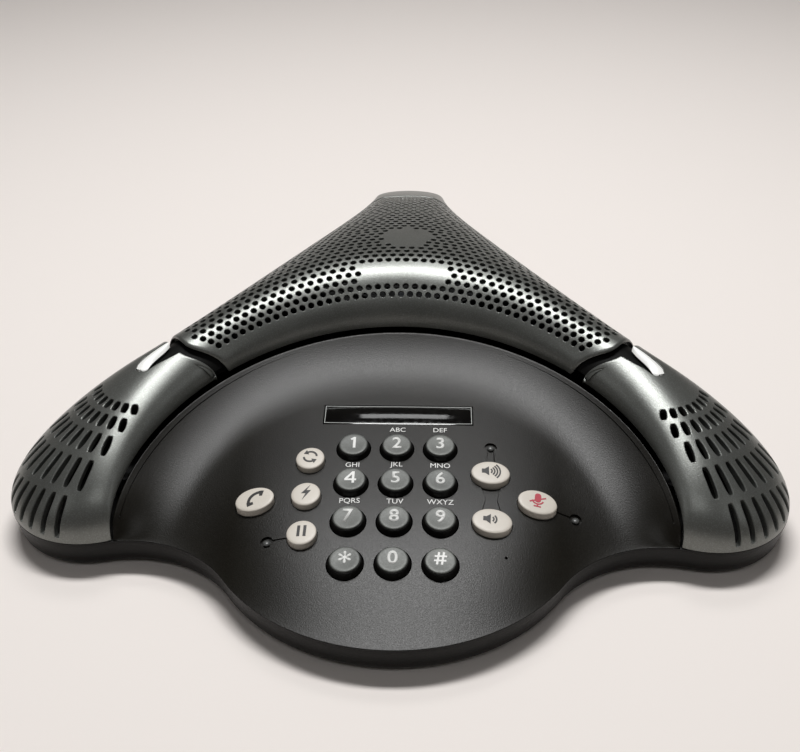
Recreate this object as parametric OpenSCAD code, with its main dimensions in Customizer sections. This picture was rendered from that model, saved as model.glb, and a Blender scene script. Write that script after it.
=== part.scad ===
// Conference phone: a three-armed table unit. A dome covers the speaker, three arms
// hold the microphones, and a console in front of the dome carries the keys.
// Lengths are millimetres, +Z is up and the keys face -Y.

/* [Overall] */
// Width across the two side arms
width = 267; // [262:1:275]
// Dome centre to the front edge
front_reach = 142; // [139:1:146]
// Dome centre to the rear tip
rear_reach = 170; // [165:1:178]
// Height of the top of the dome
dome_top = 64; // [61:0.5:68]
// Height of the line between the base and the covers
parting = 12; // [11.5:0.5:13.5]

/* [Covers] */
// Angle of the side arms in front of the X axis
arm_angle = 34; // [33.5:0.25:35]
// Plan radius of a side arm's tip
tip_r = 29.5; // [28.5:0.5:31]
// Plan radius of the rear arm's tip
rear_tip_r = 19; // [17:0.5:22]
// Plan radius of the hollow between a side arm and the rear arm
valley_r = 305; // [290:5:330]
// Plan radius of the hollow line that rounds the dome above the console
brow_r = 125; // [120:1:135]
// Fall of the crown away from the dome's top
crown_slope = 0.36; // [0.3:0.01:0.42]
// Roundness of the crown
crown_round = 94; // [85:1:110]
// How late the covers turn down at their edge
edge_power = 5.3; // [4.6:0.1:6]
// How sharply the covers turn down at their edge
edge_root = 2.16; // [1.9:0.02:2.5]
// How far the covers roll down to the arch
roll_h = 20; // [18:0.5:22]
// Width of that roll in plan
roll_w = 24; // [21:0.5:27]
// Thickness of covers, console and base
wall = 2.2; // [1.8:0.1:2.6]
// Plan radius of the seams between dome and arms
seam_r = 98.5; // [96:0.5:101]
// How far the side seams' centre lies behind the dome centre
seam_back = 26; // [24:0.5:28]
// Dome centre to the level stretch of the side seams beside the arch
seam_cut = 36.9; // [36:0.1:38]
// Dome centre to the rear seam
rear_seam = 96; // [92:1:100]
// Width of the seam grooves
seam_gap = 3.2; // [2.4:0.1:4]

/* [Console] */
// Plan radius of the arch between dome and console
arch_r = 93.2; // [92:0.2:95]
// Dome centre to the front of the arch
arch_front = 13.1; // [12:0.1:15]
// Plan radius of the rounded front edge
tongue_r = 65.5; // [63:0.5:68]
// Plan radius of the hollow between front edge and arm tip
fillet_r = 41; // [38:0.5:44]
// Height of the console above the parting line below the arch
console_rise = 23.2; // [22:0.1:24.5]
// Fall of the console from the arch to the front
console_fall = 18; // [16.5:0.1:19.5]
// Width of the sweep up to the arch at the middle
skirt_w = 28; // [25:0.5:30]
// How much narrower that sweep is at the arms
skirt_taper = 7; // [5:0.5:9]
// Gap between the dome's lower edge and the console's upper edge
arch_gap = 0.6; // [0.4:0.1:1]
// How far the console's upper edge stands up in front of the dome's edge
edge_up = 1.2; // [0.8:0.1:1.4]
// Width of the label strip
label_w = 52.6; // [46:0.1:56]
// Depth of the label strip
label_d = 9.4; // [8:0.1:10]
// Thickness of the card and of the window over it
label_t = 0.6; // [0.5:0.1:0.8]

/* [Keys] */
// Pitch of the digit keys across
key_pitch_x = 14.75; // [14.6:0.05:15]
// Pitch of the digit keys down the console
key_pitch_y = 15.45; // [15:0.05:15.8]
// Dome centre to the first row of digit keys
key_first = 67.3; // [66:0.1:68]
// Tilt of the key board towards the user
key_tilt = 10; // [9:0.5:11]
// Top diameter of a digit key
digit_top_d = 9.4; // [8.8:0.1:10]
// Diameter of a digit key where it leaves the console
digit_base_d = 11.4; // [11:0.1:11.6]
// Diameter of a round function key
round_d = 9.6; // [9:0.1:10]
// Length of an oval function key
oval_l = 12.8; // [12:0.1:13.2]
// Width of an oval function key
oval_d = 9.8; // [9.2:0.1:10]
// Height of a digit key above the console
digit_proud = 2.6; // [2:0.1:3]
// Height of a function key above the console
cream_proud = 2.2; // [1.8:0.1:2.6]
// Key travel
key_travel = 1.2; // [0.8:0.1:1.5]
// Gap around each key
key_gap = 0.3; // [0.25:0.05:0.4]
// Width of the flange that keeps a key in
key_flange = 0.8; // [0.6:0.1:1]

/* [Speaker] */
// Diameter of the speaker's mounting flange
speaker_d = 66; // [62:1:68]
// Dome centre to the speaker's centre, towards the back
speaker_back = 36; // [34:0.5:38]
// Room between the plate that carries the speaker and the dome
deck_room = 1.4; // [1.2:0.1:3]
// Thickness of that plate
deck_t = 2.5; // [2:0.1:3]
// Diameter of the magnet
magnet_d = 46; // [40:1:48]

/* [Base] */
// Height of the base above the table
base_lift = 1.2; // [0.8:0.1:1.6]
// Thickness of the base's floor
floor_t = 2.8; // [2.6:0.1:3.4]
// Diameter of a rubber foot
foot_d = 14; // [12:0.5:16]
// Depth of a foot's recess
foot_seat = 0.9; // [0.6:0.1:1.2]
// Width of the line jack's mouth
jack_w = 9.9; // [9.6:0.1:10.2]
// Height of the line jack's mouth
jack_h = 6.8; // [6.6:0.1:7]

/* [Hidden] */
$fn = 48;
tiny = 0.01;

// Places that follow from the driving sizes. The dome centre is moved so that
// the origin lies below the middle of the whole outline.
middle = [0, (front_reach - rear_reach) / 2, 0];
tip = [width / 2 - tip_r, -(width / 2 - tip_r) * tan(arm_angle)];
rear_tip = [0, rear_reach - rear_tip_r];
arch_c = [0, -arch_front - arch_r];
tongue_c = [0, tongue_r - front_reach];
seam_c = [0, seam_back];
rear_seam_c = [0, rear_seam - seam_r];
valley_c = touching(rear_tip, rear_tip_r, tip, tip_r, valley_r);
brow_c = [0, tip[1] - sqrt(pow(tip_r + brow_r, 2) - pow(tip[0], 2))];
fillet_c = touching(tip, tip_r, tongue_c, tongue_r, fillet_r);
floor_z = base_lift + floor_t;

// Plane geometry
function unit(v) = v / norm(v);
function ang(v) = atan2(v[1], v[0]);
function flip(p) = [-p[0], p[1]];
function flipped(pts) = [for (i = [len(pts) - 1:-1:0]) flip(pts[i])];

// Centre of a circle of radius r that touches two circles, on the side away from the dome centre
function touching(a, ra, b, rb, r) =
  let (d = norm(b - a), t = (b - a) / d, n = [t[1], -t[0]], out = n * (a + b) < 0 ? -1 : 1,
       u = (pow(ra + r, 2) - pow(rb + r, 2) + d * d) / (2 * d))
  a + t * u + n * out * sqrt(pow(ra + r, 2) - u * u);

// Where two circles meet, left of the line from a to b for side 1 and right of it for side -1
function meet(a, ra, b, rb, side) =
  let (d = norm(b - a), t = (b - a) / d, u = (ra * ra - rb * rb + d * d) / (2 * d))
  a + t * u + side * sqrt(max(ra * ra - u * u, 0)) * [-t[1], t[0]];

// Points of an arc from p towards q, without q, turning left for side 1 and right for side -1
function arc(c, r, p, q, n, side) =
  let (a = ang(p - c), b = ang(q - c), turn = side > 0 ? (b < a ? b + 360 - a : b - a) : (b > a ? b - 360 - a : b - a))
  [for (i = [0:n - 1]) c + r * [cos(a + turn * i / n), sin(a + turn * i / n)]];

// Distances from the dome centre to a circle, along the direction u
function near_hit(u, c, r) = let (b = u * c) b - sqrt(max(b * b - c * c + r * r, 0));
function far_hit(u, c, r) = let (b = u * c) b + sqrt(max(b * b - c * c + r * r, 0));

// Directions in which the covers' outline goes from one arc to the next
turn_rear = ang(rear_tip + rear_tip_r * unit(valley_c - rear_tip));
turn_side = ang(tip + tip_r * unit(valley_c - tip));
turn_brow = ang(tip + tip_r * unit(brow_c - tip));

// Reach of the covers' outline in the direction of p, drawn in by inset
function reach(p, inset) =
  let (u = unit([abs(p[0]), p[1]]), a = ang(u))
  a > turn_rear ? far_hit(u, rear_tip, rear_tip_r - inset) :
  a > turn_side ? near_hit(u, valley_c, valley_r + inset) :
  a > turn_brow ? far_hit(u, tip, tip_r - inset) :
  near_hit(u, brow_c, brow_r + inset);

// Height of the covers at p, and of their underside where inset is the wall
function crown(r) = dome_top - crown_slope * (sqrt(r * r + crown_round * crown_round) - crown_round);
function roll(p, inset) =
  let (d = max(norm([p[0], p[1]] - arch_c) - arch_r - inset, 0))
  1 - sqrt(1 - pow(max(1 - d / roll_w, 0), 2));
function cover_z(p, inset) =
  let (r = norm(p), t = r < tiny ? 0 : min(r / reach(p, inset), 1),
       rise = (crown(r) - inset - parting) * pow(max(1 - pow(t, edge_power), 0), 1 / edge_root))
  parting + rise * (1 - roll_h / (dome_top - parting) * roll(p, inset));

// Side seams: an arc from the outer edge that bends into a level stretch to the arch, moved out to the arm by off
seam_soft = 1.5;
function seam_y(x, off) =
  let (a = seam_c[1] - sqrt(max(pow(seam_r + off, 2) - x * x, 0)), b = -seam_cut - off)
  (a + b) / 2 + sqrt(pow((a - b) / 2, 2) + seam_soft * seam_soft);
function seam_arch(off, y, n) = let (x = sqrt(arch_r * arch_r - pow(y - arch_c[1], 2)))
  n == 0 ? [x, y] : seam_arch(off, seam_y(x, off), n - 1);
function seam_line(a, b, off, n) =
  [for (i = [0:n - 1]) let (x = a[0] + (b[0] - a[0]) * i / n) i == 0 ? a : [x, seam_y(x, off)]];

// Outline of each arm's cover, drawn in by inset where it stands on the base
function side_edge(inset) =
  let (r = seam_r + seam_gap,
       foot = meet(arch_c, arch_r, tip, tip_r - inset, -1),
       shoulder = tip + (tip_r - inset) * unit(valley_c - tip),
       a = meet(seam_c, r, valley_c, valley_r + inset, -1),
       b = seam_arch(seam_gap, -seam_cut - seam_gap, 6))
  concat(arc(tip, tip_r - inset, foot, shoulder, 18, 1), arc(valley_c, valley_r + inset, shoulder, a, 10, -1),
         seam_line(a, b, seam_gap, 9), arc(arch_c, arch_r, b, foot, 12, -1));
function rear_edge(inset) =
  let (r = seam_r + seam_gap,
       a = meet(rear_seam_c, r, valley_c, valley_r + inset, 1),
       shoulder = rear_tip + (rear_tip_r - inset) * unit(valley_c - rear_tip),
       half = concat(arc(valley_c, valley_r + inset, a, shoulder, 9, -1),
                     arc(rear_tip, rear_tip_r - inset, shoulder, rear_tip + [0, rear_tip_r], 8, 1)))
  concat([[0, rear_seam + seam_gap]], arc(rear_seam_c, r, [0, rear_seam + seam_gap], a, 5, -1),
         half, [rear_tip + [0, rear_tip_r - inset]], flipped(half),
         arc(rear_seam_c, r, flip(a), [0, rear_seam + seam_gap], 5, -1));

// Outline of the base, drawn in by inset
function base_half(inset) =
  let (notch = fillet_c + (fillet_r + inset) * unit(tongue_c - fillet_c),
       heel = tip + (tip_r - inset) * unit(fillet_c - tip),
       shoulder = tip + (tip_r - inset) * unit(valley_c - tip),
       nape = rear_tip + (rear_tip_r - inset) * unit(valley_c - rear_tip))
  concat(arc(tongue_c, tongue_r - inset, [0, -front_reach], notch, 9, 1),
         arc(fillet_c, fillet_r + inset, notch, heel, 9, -1), arc(tip, tip_r - inset, heel, shoulder, 15, 1),
         arc(valley_c, valley_r + inset, shoulder, nape, 12, -1),
         arc(rear_tip, rear_tip_r - inset, nape, rear_tip + [0, rear_tip_r], 7, 1));
function base_outline(inset) =
  let (half = base_half(inset))
  concat(half, [rear_tip + [0, rear_tip_r - inset]], flipped([for (i = [1:len(half) - 1]) half[i]]));

// Height of the console. It falls from the arch to the front edge, and sweeps up to the arch.
console_end = meet(arch_c, arch_r, fillet_c, fillet_r, 1)[0];
front_power = 5.5;
front_root = 0.95;
arch_step = wall + arch_gap;
function arch_y(x) = arch_c[1] + sqrt(arch_r * arch_r - x * x);
notch_x = (tongue_c + tongue_r * unit(fillet_c - tongue_c))[0];
function front_y(x) = abs(x) < notch_x
  ? tongue_c[1] - sqrt(tongue_r * tongue_r - x * x)
  : fillet_c[1] + sqrt(fillet_r * fillet_r - pow(abs(x) - fillet_c[0], 2));
function shoulder_fall(x) = pow(max(1 - pow(min(abs(x) / console_end, 1), 3), 0), 0.8);
function edge_lift(x) = edge_up * (1 - pow(x / console_end, 4));
function arch_top(x) = cover_z([x, arch_y(x)], 0) - arch_step + edge_lift(x);
function console_z(p) =
  let (s = min(max((arch_y(p[0]) - p[1]) / (arch_y(p[0]) - front_y(p[0])), 0), 1),
       q = max(arch_r - arch_gap - norm([p[0], p[1]] - arch_c), 0),
       near = arch_r * unit([p[0], p[1]] - arch_c)[0],
       deep = skirt_w - skirt_taper * pow(near / console_end, 2),
       climb = arch_top(near) - parting - console_rise * shoulder_fall(near))
  parting + ((console_rise - console_fall * s) * shoulder_fall(p[0]) + climb * pow(max(1 - q / deep, 0), 2))
    * pow(max(1 - pow(s, front_power), 0), 1 / front_root);

// A closed shell between two fans of rings around one centre, both given by their outline
rings = [0.22, 0.42, 0.6, 0.74, 0.85, 0.92, 0.965, 0.99, 1];
function fan(centre, edge, inset) = [for (t = rings) for (p = edge) let (q = centre + (p - centre) * t)
  [q[0], q[1], cover_z(q, inset)]];
module shell(centre, edge, under) {
  n = len(edge);
  m = len(rings);
  count = n * m;
  points = concat(fan(centre, edge, 0), [[centre[0], centre[1], cover_z(centre, 0)]],
                  fan(centre, under, wall), [[centre[0], centre[1], cover_z(centre, wall)]]);
  low = count + 1;
  faces = concat(
    [for (j = [0:n - 1]) [count, (j + 1) % n, j]],
    [for (i = [0:m - 2]) for (j = [0:n - 1]) let (k = (j + 1) % n)
      each [[i * n + j, i * n + k, (i + 1) * n + k], [i * n + j, (i + 1) * n + k, (i + 1) * n + j]]],
    [for (j = [0:n - 1]) [low + count, low + j, low + (j + 1) % n]],
    [for (i = [0:m - 2]) for (j = [0:n - 1]) let (k = (j + 1) % n)
      each [[low + i * n + j, low + (i + 1) * n + k, low + i * n + k],
            [low + i * n + j, low + (i + 1) * n + j, low + (i + 1) * n + k]]],
    [for (j = [0:n - 1]) let (k = (j + 1) % n, a = (m - 1) * n + j, b = (m - 1) * n + k)
      each [[a, b, low + b], [a, low + b, low + a]]]);
  polyhedron(points, faces);
}

// A closed slab between an upper and a lower grid of points
module slab(upper, lower) {
  rows = len(upper);
  cols = len(upper[0]);
  count = rows * cols;
  points = concat([for (r = upper) each r], [for (r = lower) each r]);
  function at(i, j) = i * cols + j;
  function quad(a, b, c, d) = [[a, b, c], [a, c, d]];
  faces = concat(
    [for (i = [0:rows - 2]) for (j = [0:cols - 2])
      each quad(at(i, j), at(i + 1, j), at(i + 1, j + 1), at(i, j + 1))],
    [for (i = [0:rows - 2]) for (j = [0:cols - 2])
      each quad(count + at(i, j), count + at(i, j + 1), count + at(i + 1, j + 1), count + at(i + 1, j))],
    [for (i = [0:rows - 2])
      each quad(at(i + 1, 0), at(i, 0), count + at(i, 0), count + at(i + 1, 0))],
    [for (i = [0:rows - 2]) let (j = cols - 1)
      each quad(at(i, j), at(i + 1, j), count + at(i + 1, j), count + at(i, j))],
    [for (j = [0:cols - 2])
      each quad(at(0, j), at(0, j + 1), count + at(0, j + 1), count + at(0, j))],
    [for (j = [0:cols - 2]) let (i = rows - 1)
      each quad(at(i, j + 1), at(i, j), count + at(i, j), count + at(i, j + 1))]);
  polyhedron(points, faces);
}

// A closed solid through rings of equal count, each given as [height, outline], with ends that fan from centre
module loft(levels, centre) {
  n = len(levels[0][1]);
  m = len(levels);
  count = n * m;
  points = concat([for (l = levels) for (p = l[1]) [p[0], p[1], l[0]]],
                  [[centre[0], centre[1], levels[0][0]], [centre[0], centre[1], levels[m - 1][0]]]);
  faces = concat([for (j = [0:n - 1]) [j, (j + 1) % n, count]],
    [for (i = [0:m - 2]) for (j = [0:n - 1]) let (k = (j + 1) % n)
      each [[i * n + j, (i + 1) * n + j, (i + 1) * n + k], [i * n + j, (i + 1) * n + k, i * n + k]]],
    [for (j = [0:n - 1]) [(m - 1) * n + (j + 1) % n, (m - 1) * n + j, count + 1]]);
  polyhedron(points, faces);
}

// Base: a tray with a drawn-in foot, seats for the feet, screw holes and the jack's mouth
foot_inset = 2.6;
bevel_z = base_lift + 3;
post_r = 4;
screw_r = 1.25;
screw_gap = 0.05;
screw_head_r = 2.8;
screw_head_h = 1.6;
foot_places = [rear_tip, tip, flip(tip), [40, -100], [-40, -100]];
foot_h = base_lift + foot_seat;
jack_foot = 0.4;
jack_z = floor_z + jack_foot;
module base_pan() color("#1d1c1a") translate(middle) difference() {
  loft([[base_lift, base_outline(foot_inset)], [bevel_z, base_outline(0.5)], [parting, base_outline(0)],
        [parting, base_outline(wall)], [floor_z, base_outline(wall + 0.4)]], [0, -arch_front]);
  for (p = foot_places) translate([p[0], p[1], base_lift - 1]) cylinder(d = foot_d + 0.4, h = foot_seat + 1);
  for (p = deck_posts) {
    translate([p[0], p[1], base_lift - 1]) cylinder(r = screw_head_r + 0.2, h = screw_head_h + 1);
    translate([p[0], p[1], base_lift - 1]) cylinder(r = screw_r + screw_gap, h = floor_t + 2);
  }
  translate([-jack_w / 2, rear_reach - 2 * wall, jack_z]) cube([jack_w, 4 * wall, jack_h]);
}
module rubber_feet() color("#2b2b2b") translate(middle)
  for (p = foot_places) translate([p[0], p[1], 0]) cylinder(d = foot_d, h = foot_h);

// Covers
dome_cols = [0, 0.012, 0.035, 0.07, 0.12, 0.19, 0.28, 0.38, 0.5, 0.61, 0.71, 0.79, 0.86, 0.915, 0.955, 0.985, 1];
dome_rows = 40;
dome_nape = meet(rear_seam_c, seam_r, valley_c, valley_r + wall, 1)[0];
dome_half = meet(seam_c, seam_r, valley_c, valley_r + wall, -1)[0] - wall / 2;
function dome_front(x) = max(arch_y(x), seam_y(x, 0));
function dome_rear(x, inset) = abs(x) < dome_nape
  ? rear_seam_c[1] + sqrt(seam_r * seam_r - x * x)
  : valley_c[1] - sqrt(pow(valley_r + inset, 2) - pow(abs(x) - valley_c[0], 2));
function dome_row(x, inset) = [for (s = dome_cols) let (y = dome_rear(x, inset) * (1 - s) + dome_front(x) * s)
  [x, y, cover_z([x, y], inset)]];
function dome_x(i) = dome_half * sin(90 * (2 * i / dome_rows - 1));
function dome_grid(inset) = [for (i = [0:dome_rows]) dome_row(dome_x(i), inset)];
module speaker_grille() color("#55585b") translate(middle) slab(dome_grid(0), dome_grid(wall));
arm_centre = [0.93 * tip[0], 0.78 * tip[1]];
module side_cover() difference() {
  shell(arm_centre, side_edge(0), side_edge(wall));
  translate([0, 0, parting]) linear_extrude(dome_top) polygon(pocket_edge);
}
module right_arm_cover() color("#5b5e61") translate(middle) side_cover();
module left_arm_cover() color("#5b5e61") translate(middle) mirror([1, 0, 0]) side_cover();
module rear_arm_cover() color("#5b5e61") translate(middle)
  shell([0, rear_tip[1] - rear_tip_r], rear_edge(0), rear_edge(wall));

// Pocket beside each side seam, and the light guide that closes its outer side.
// Points are given as distance out from the arm's seam edge and angle about the seam's centre.
guide_outer = [[0.3, -34.9], [3.7, -35.1], [9.4, -35.7], [13, -36.5], [15.2, -37.7], [14.7, -38.6]];
guide_inner = [[12.2, -38.9], [8.6, -37.6], [4.2, -36.9], [0.3, -35.9]];
pocket_inner = [[13.6, -39.3], [12.2, -39.5], [8.7, -39.4], [4.6, -39.6], [-2, -39.8], [-2, -34.6]];
guide_clear = 0.15;
function seam_at(p, shift) =
  let (r = seam_r + seam_gap + p[0] - shift, a = p[1] - shift) seam_c + r * [cos(a), sin(a)];
pocket_edge = [for (p = concat(guide_outer, pocket_inner)) seam_at(p, 0)];
guide_edge = concat([for (p = guide_outer) seam_at(p, guide_clear)], [for (p = guide_inner) seam_at(p, 0)]);
module light_guide() intersection() {
  shell(arm_centre, side_edge(0), side_edge(wall));
  translate([0, 0, parting]) linear_extrude(dome_top) polygon(guide_edge);
}
module right_light_guide() color("#f1f1ea") translate(middle) light_guide();
module left_light_guide() color("#f1f1ea") translate(middle) mirror([1, 0, 0]) light_guide();

// Black strips that close the seams from below and carry the covers' edges
strip_in = 9;
strip_out = 17;
strip_t = 1.8;
strip_gap = 0.85;
strip_steps = 12;
strip_end = 6.5;
strip_radii = [seam_r - strip_in, seam_r, seam_r + seam_gap, seam_r + seam_gap + strip_out / 2,
  seam_r + seam_gap + strip_out];
function strip_point(c, r, a, drop) =
  let (p = c + r * [cos(a), sin(a)]) [p[0], p[1], cover_z(p, wall) - drop];
function strip_row(c, r, from, to, drop) =
  [for (i = [0:strip_steps]) strip_point(c, r, from + (to - from) * i / strip_steps, drop)];
function side_low(r) = ang(meet(arch_c, arch_r, seam_c, r, -1) - seam_c) + strip_end;
function side_high(r) = ang(meet(seam_c, r, valley_c, valley_r + wall, -1) - seam_c) - strip_end;
function rear_low(r) = ang(meet(rear_seam_c, r, valley_c, valley_r + wall, 1) - rear_seam_c) + strip_end;
function side_grid(drop) = [for (r = strip_radii) strip_row(seam_c, r, side_high(r), side_low(r), drop)];
function rear_grid(drop) =
  [for (r = strip_radii) strip_row(rear_seam_c, r, 180 - rear_low(r), rear_low(r), drop)];
module side_strip() slab(side_grid(strip_gap), side_grid(strip_gap + strip_t));
module right_seam_strip() color("#141414") translate(middle) side_strip();
module left_seam_strip() color("#141414") translate(middle) mirror([1, 0, 0]) side_strip();
module rear_seam_strip() color("#141414") translate(middle)
  slab(rear_grid(strip_gap), rear_grid(strip_gap + strip_t));

// Console
console_cols = [0, 0.008, 0.018, 0.03, 0.045, 0.07, 0.12, 0.2, 0.3, 0.4, 0.5, 0.6, 0.7, 0.79, 0.87, 0.93, 0.97, 1];
console_rows = 30;
console_trim = 1;
console_half = console_end - console_trim;
console_last = len(console_cols) - 1;
console_lip = wall;
step_run = 0.15;
even_below = 40;
wall_cols = 0.07;
function row_x(i) = console_half * sin(90 * (2 * i / console_rows - 1));
function wall_share(j) = 0.85 * max(1 - console_cols[j] / wall_cols, 0);
function col_share(x, j) =
  let (even = max(1 - (arch_y(x) - front_y(x)) / even_below, 0))
  even * j / console_last + (1 - even) * console_cols[j];
function console_row(x) =
  let (a = arch_y(x) - arch_gap, f = front_y(x))
  concat([[x, a + console_lip, arch_top(x) - edge_lift(x)], [x, a + step_run, arch_top(x) - edge_lift(x)]],
    [for (j = [0:console_last]) let (y = a + (f - a) * col_share(x, j)) [x, y, console_z([x, y])]]);
function console_under(x) =
  let (a = arch_y(x) - arch_gap, f = front_y(x))
  concat([[x, a + console_lip, arch_top(x) - edge_lift(x) - wall],
          [x, a + 0.95 * console_lip, arch_top(x) - edge_lift(x) - 1.05 * wall]],
    [for (j = [0:console_last]) let (s = col_share(x, j), k = wall_share(j))
      [x, a + (f + wall - a) * s + k * console_lip,
       max(console_z([x, a + (f - a) * s]) - wall * (1 + k), parting)]]);
module console() color("#26251f") translate(middle) difference() {
  slab([for (i = [0:console_rows]) console_row(row_x(i))], [for (i = [0:console_rows]) console_under(row_x(i))]);
  for (k = digit_keys) key_hole(k, digit_base_d, digit_base_d);
  for (k = round_keys) key_hole(k, round_d, round_d);
  for (k = oval_keys) key_hole(k, oval_l, oval_d);
  label_box(label_w + 2 * label_gap, label_d + 2 * label_gap, 2 * label_t, 4);
}

// Label strip: a printed card under a clear window, in a shallow seat of the console
label_gap = 0.15;
label_place = 46;
label_back = [0, -label_place];
label_front = [0, -label_place - label_d];
label_mid = (label_back + label_front) / 2;
label_tilt = atan2(console_z(label_back) - console_z(label_front), norm(label_back - label_front));
module label_box(w, d, low, h) translate([0, label_mid[1], console_z(label_mid)]) rotate([label_tilt, 0, 0])
  translate([-w / 2, -d / 2, -low]) cube([w, d, h]);
module label_card() color("#0c0c0c") translate(middle) label_box(label_w, label_d, 2 * label_t, label_t);
module label_window() color("#c8d2d6", 0.4) translate(middle) label_box(label_w, label_d, label_t, label_t);

// Keys. Each stands on the console's surface and moves along the board's normal.
digit_keys = [for (i = [0:3]) for (j = [-1:1]) [j * key_pitch_x, -key_first - i * key_pitch_y, 0]];
round_keys = [[-29, -73.1, 0], [-29.1, -88.3, 0], [-29.1, -103.2, 0]];
oval_keys = [[-45.9, -89, 8], [31.4, -78.4, 0], [31.2, -97.8, -4], [46.3, -88.7, -8]];
key_axis = [0, -sin(key_tilt), cos(key_tilt)];
function key_spot(k) = [k[0], k[1], console_z(k)];
module on_key(k) translate(key_spot(k)) rotate([key_tilt, 0, 0]) rotate(k[2]) children();
module stadium(l, d, h) {
  if (l > d) {
    for (s = [-1, 1]) translate([s * (l - d) / 2, 0, 0]) cylinder(d = d, h = h);
    translate([-(l - d) / 2, -d / 2, 0]) cube([l - d, d, h]);
  } else {
    cylinder(d = d, h = h);
  }
}
hole_deep = 8;
module key_hole(k, l, d) on_key(k) translate([0, 0, -hole_deep])
  stadium(l + 2 * key_gap, d + 2 * key_gap, 2 * hole_deep);

// Depth of the console's underside around a key, measured along the key's axis
function under_depth(k, r) = max([for (a = [0:30:330])
  let (p = [k[0] + r * cos(a), k[1] + r * sin(a)], q = [p[0], p[1], console_z(p) - wall / cos(2 * key_tilt)])
  (key_spot(k) - q) * key_axis]);
flange_t = 1;
plunger_d = 6;
function key_drop(k) = (key_spot(k) - board_spot) * key_axis;
module key_foot(k, l, d) {
  top = under_depth(k, max(l, d) / 2 + key_flange) + key_gap;
  base = key_drop(k) - membrane_t - dome_h - key_travel - key_gap;
  translate([0, 0, -top - flange_t]) stadium(l + 2 * key_flange, d + 2 * key_flange, flange_t);
  translate([0, 0, -top]) stadium(l, d, top);
  translate([0, 0, -base]) cylinder(d = plunger_d, h = base - top);
}
module digit_key(i) color("#7d8084") translate(middle) on_key(digit_keys[i]) {
  key_foot(digit_keys[i], digit_base_d, digit_base_d);
  cylinder(d1 = digit_base_d, d2 = digit_top_d, h = digit_proud);
}
module cream_key(k, l, d) color("#e1dad2") translate(middle) on_key(k) {
  key_foot(k, l, d);
  stadium(l, d, cream_proud);
}

// Key board and the rubber membrane on it
board_drop = 12.6;
board_w = 106;
board_d = 40;
stem_w = 72;
stem_d = 60;
wing_back = 4;
board_t = 1.6;
board_mid = -key_first - 1.5 * key_pitch_y;
board_spot = [0, board_mid, console_z([0, board_mid])] - board_drop * key_axis;
membrane_t = 0.9;
membrane_inset = 3;
dome_h = 0.9;
dome_d = 6.5;
board_screw_l = 5;
post_in = 4;
board_posts = [for (x = [-1, 1]) for (y = [-1, 1]) [x * (stem_w / 2 - post_in), y * (stem_d / 2 - post_in)]];
screw_posts = [for (p = board_posts) if (p[1] > 0) p];
all_keys = concat(digit_keys, round_keys, oval_keys);
module on_board(p) translate(board_spot) rotate([key_tilt, 0, 0]) translate([p[0], p[1], 0]) children();
module plate(w, d, low, h) translate([-w / 2, -d / 2, low]) cube([w, d, h]);
module board_stand() color("#1d1c1a") translate(middle) difference() {
  for (p = board_posts) translate([0, board_spot[1], 0]) translate([p[0], p[1] * cos(key_tilt), floor_z])
    cylinder(r = post_r, h = stem_d);
  on_board([0, 0]) plate(2 * stem_w, 2 * stem_d, -board_t, 2 * stem_d);
  for (p = screw_posts) on_board(p) translate([0, 0, -board_t - board_screw_l])
    cylinder(r = screw_r + screw_gap, h = board_screw_l + 1);
}
module keypad_board() color("#2f6b3f") translate(middle) difference() {
  union() {
    on_board([0, wing_back]) plate(board_w, board_d, -board_t, board_t);
    on_board([0, 0]) plate(stem_w, stem_d, -board_t, board_t);
  }
  for (p = screw_posts) on_board(p) translate([0, 0, -board_t - 1])
    cylinder(r = screw_r + screw_gap, h = board_t + 2);
}
module keypad_membrane() color("#3a3a3c") translate(middle) union() {
  on_board([0, wing_back - membrane_inset / 2])
    plate(board_w - 2 * membrane_inset, board_d - membrane_inset, 0, membrane_t);
  on_board([0, 0]) plate(stem_w - 8 * membrane_inset, stem_d - membrane_inset, 0, membrane_t);
  for (k = all_keys) on_key(k) translate([0, 0, -key_drop(k)]) cylinder(d = dome_d, h = membrane_t + dome_h);
}
module board_screws() color("silver") translate(middle) for (p = screw_posts) on_board(p) {
  cylinder(r = screw_head_r, h = screw_head_h);
  translate([0, 0, -board_t - board_screw_l + 0.5]) cylinder(r = screw_r, h = board_t + board_screw_l - 0.5);
}

// Speaker and the deck that carries it
flange_h = 2;
basket_d = speaker_d - 11;
basket_low_d = magnet_d + 2;
basket_h = 17;
basket_t = 1.4;
magnet_h = 14;
deck_r = speaker_d / 2 + 5;
deck_post_r = 4.5;
deck_post_at = deck_r - 5;
deck_gap = 0.5;
deck_screw_l = 8;
speaker_c = [0, speaker_back];
deck_posts = [for (a = [90, 210, 330]) speaker_c + deck_post_at * [cos(a), sin(a)]];
speaker_holes = [for (a = [30, 150, 270]) speaker_c + (speaker_d / 2 - 3) * [cos(a), sin(a)]];
deck_top = min([for (a = [0:15:345]) cover_z(speaker_c + deck_r * [cos(a), sin(a)], wall)]) - deck_room;
deck_z = deck_top - deck_t;
flange_top = deck_top + flange_h;
module at_speaker(z) translate([0, speaker_back, z]) children();
module speaker_deck() color("#1a1a1a") translate(middle) difference() {
  union() {
    at_speaker(deck_z) cylinder(r = deck_r, h = deck_t);
    for (p = deck_posts) translate([p[0], p[1], floor_z]) cylinder(r = deck_post_r, h = deck_z - floor_z + 1);
  }
  at_speaker(deck_z - 1) cylinder(d = basket_d + 2 * deck_gap, h = deck_t + 2);
  for (p = deck_posts) translate([p[0], p[1], floor_z - 1])
    cylinder(r = screw_r + screw_gap, h = deck_screw_l + 1);
  for (p = speaker_holes) translate([p[0], p[1], deck_z - 1]) cylinder(r = screw_r + screw_gap, h = deck_t + 2);
}
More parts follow.
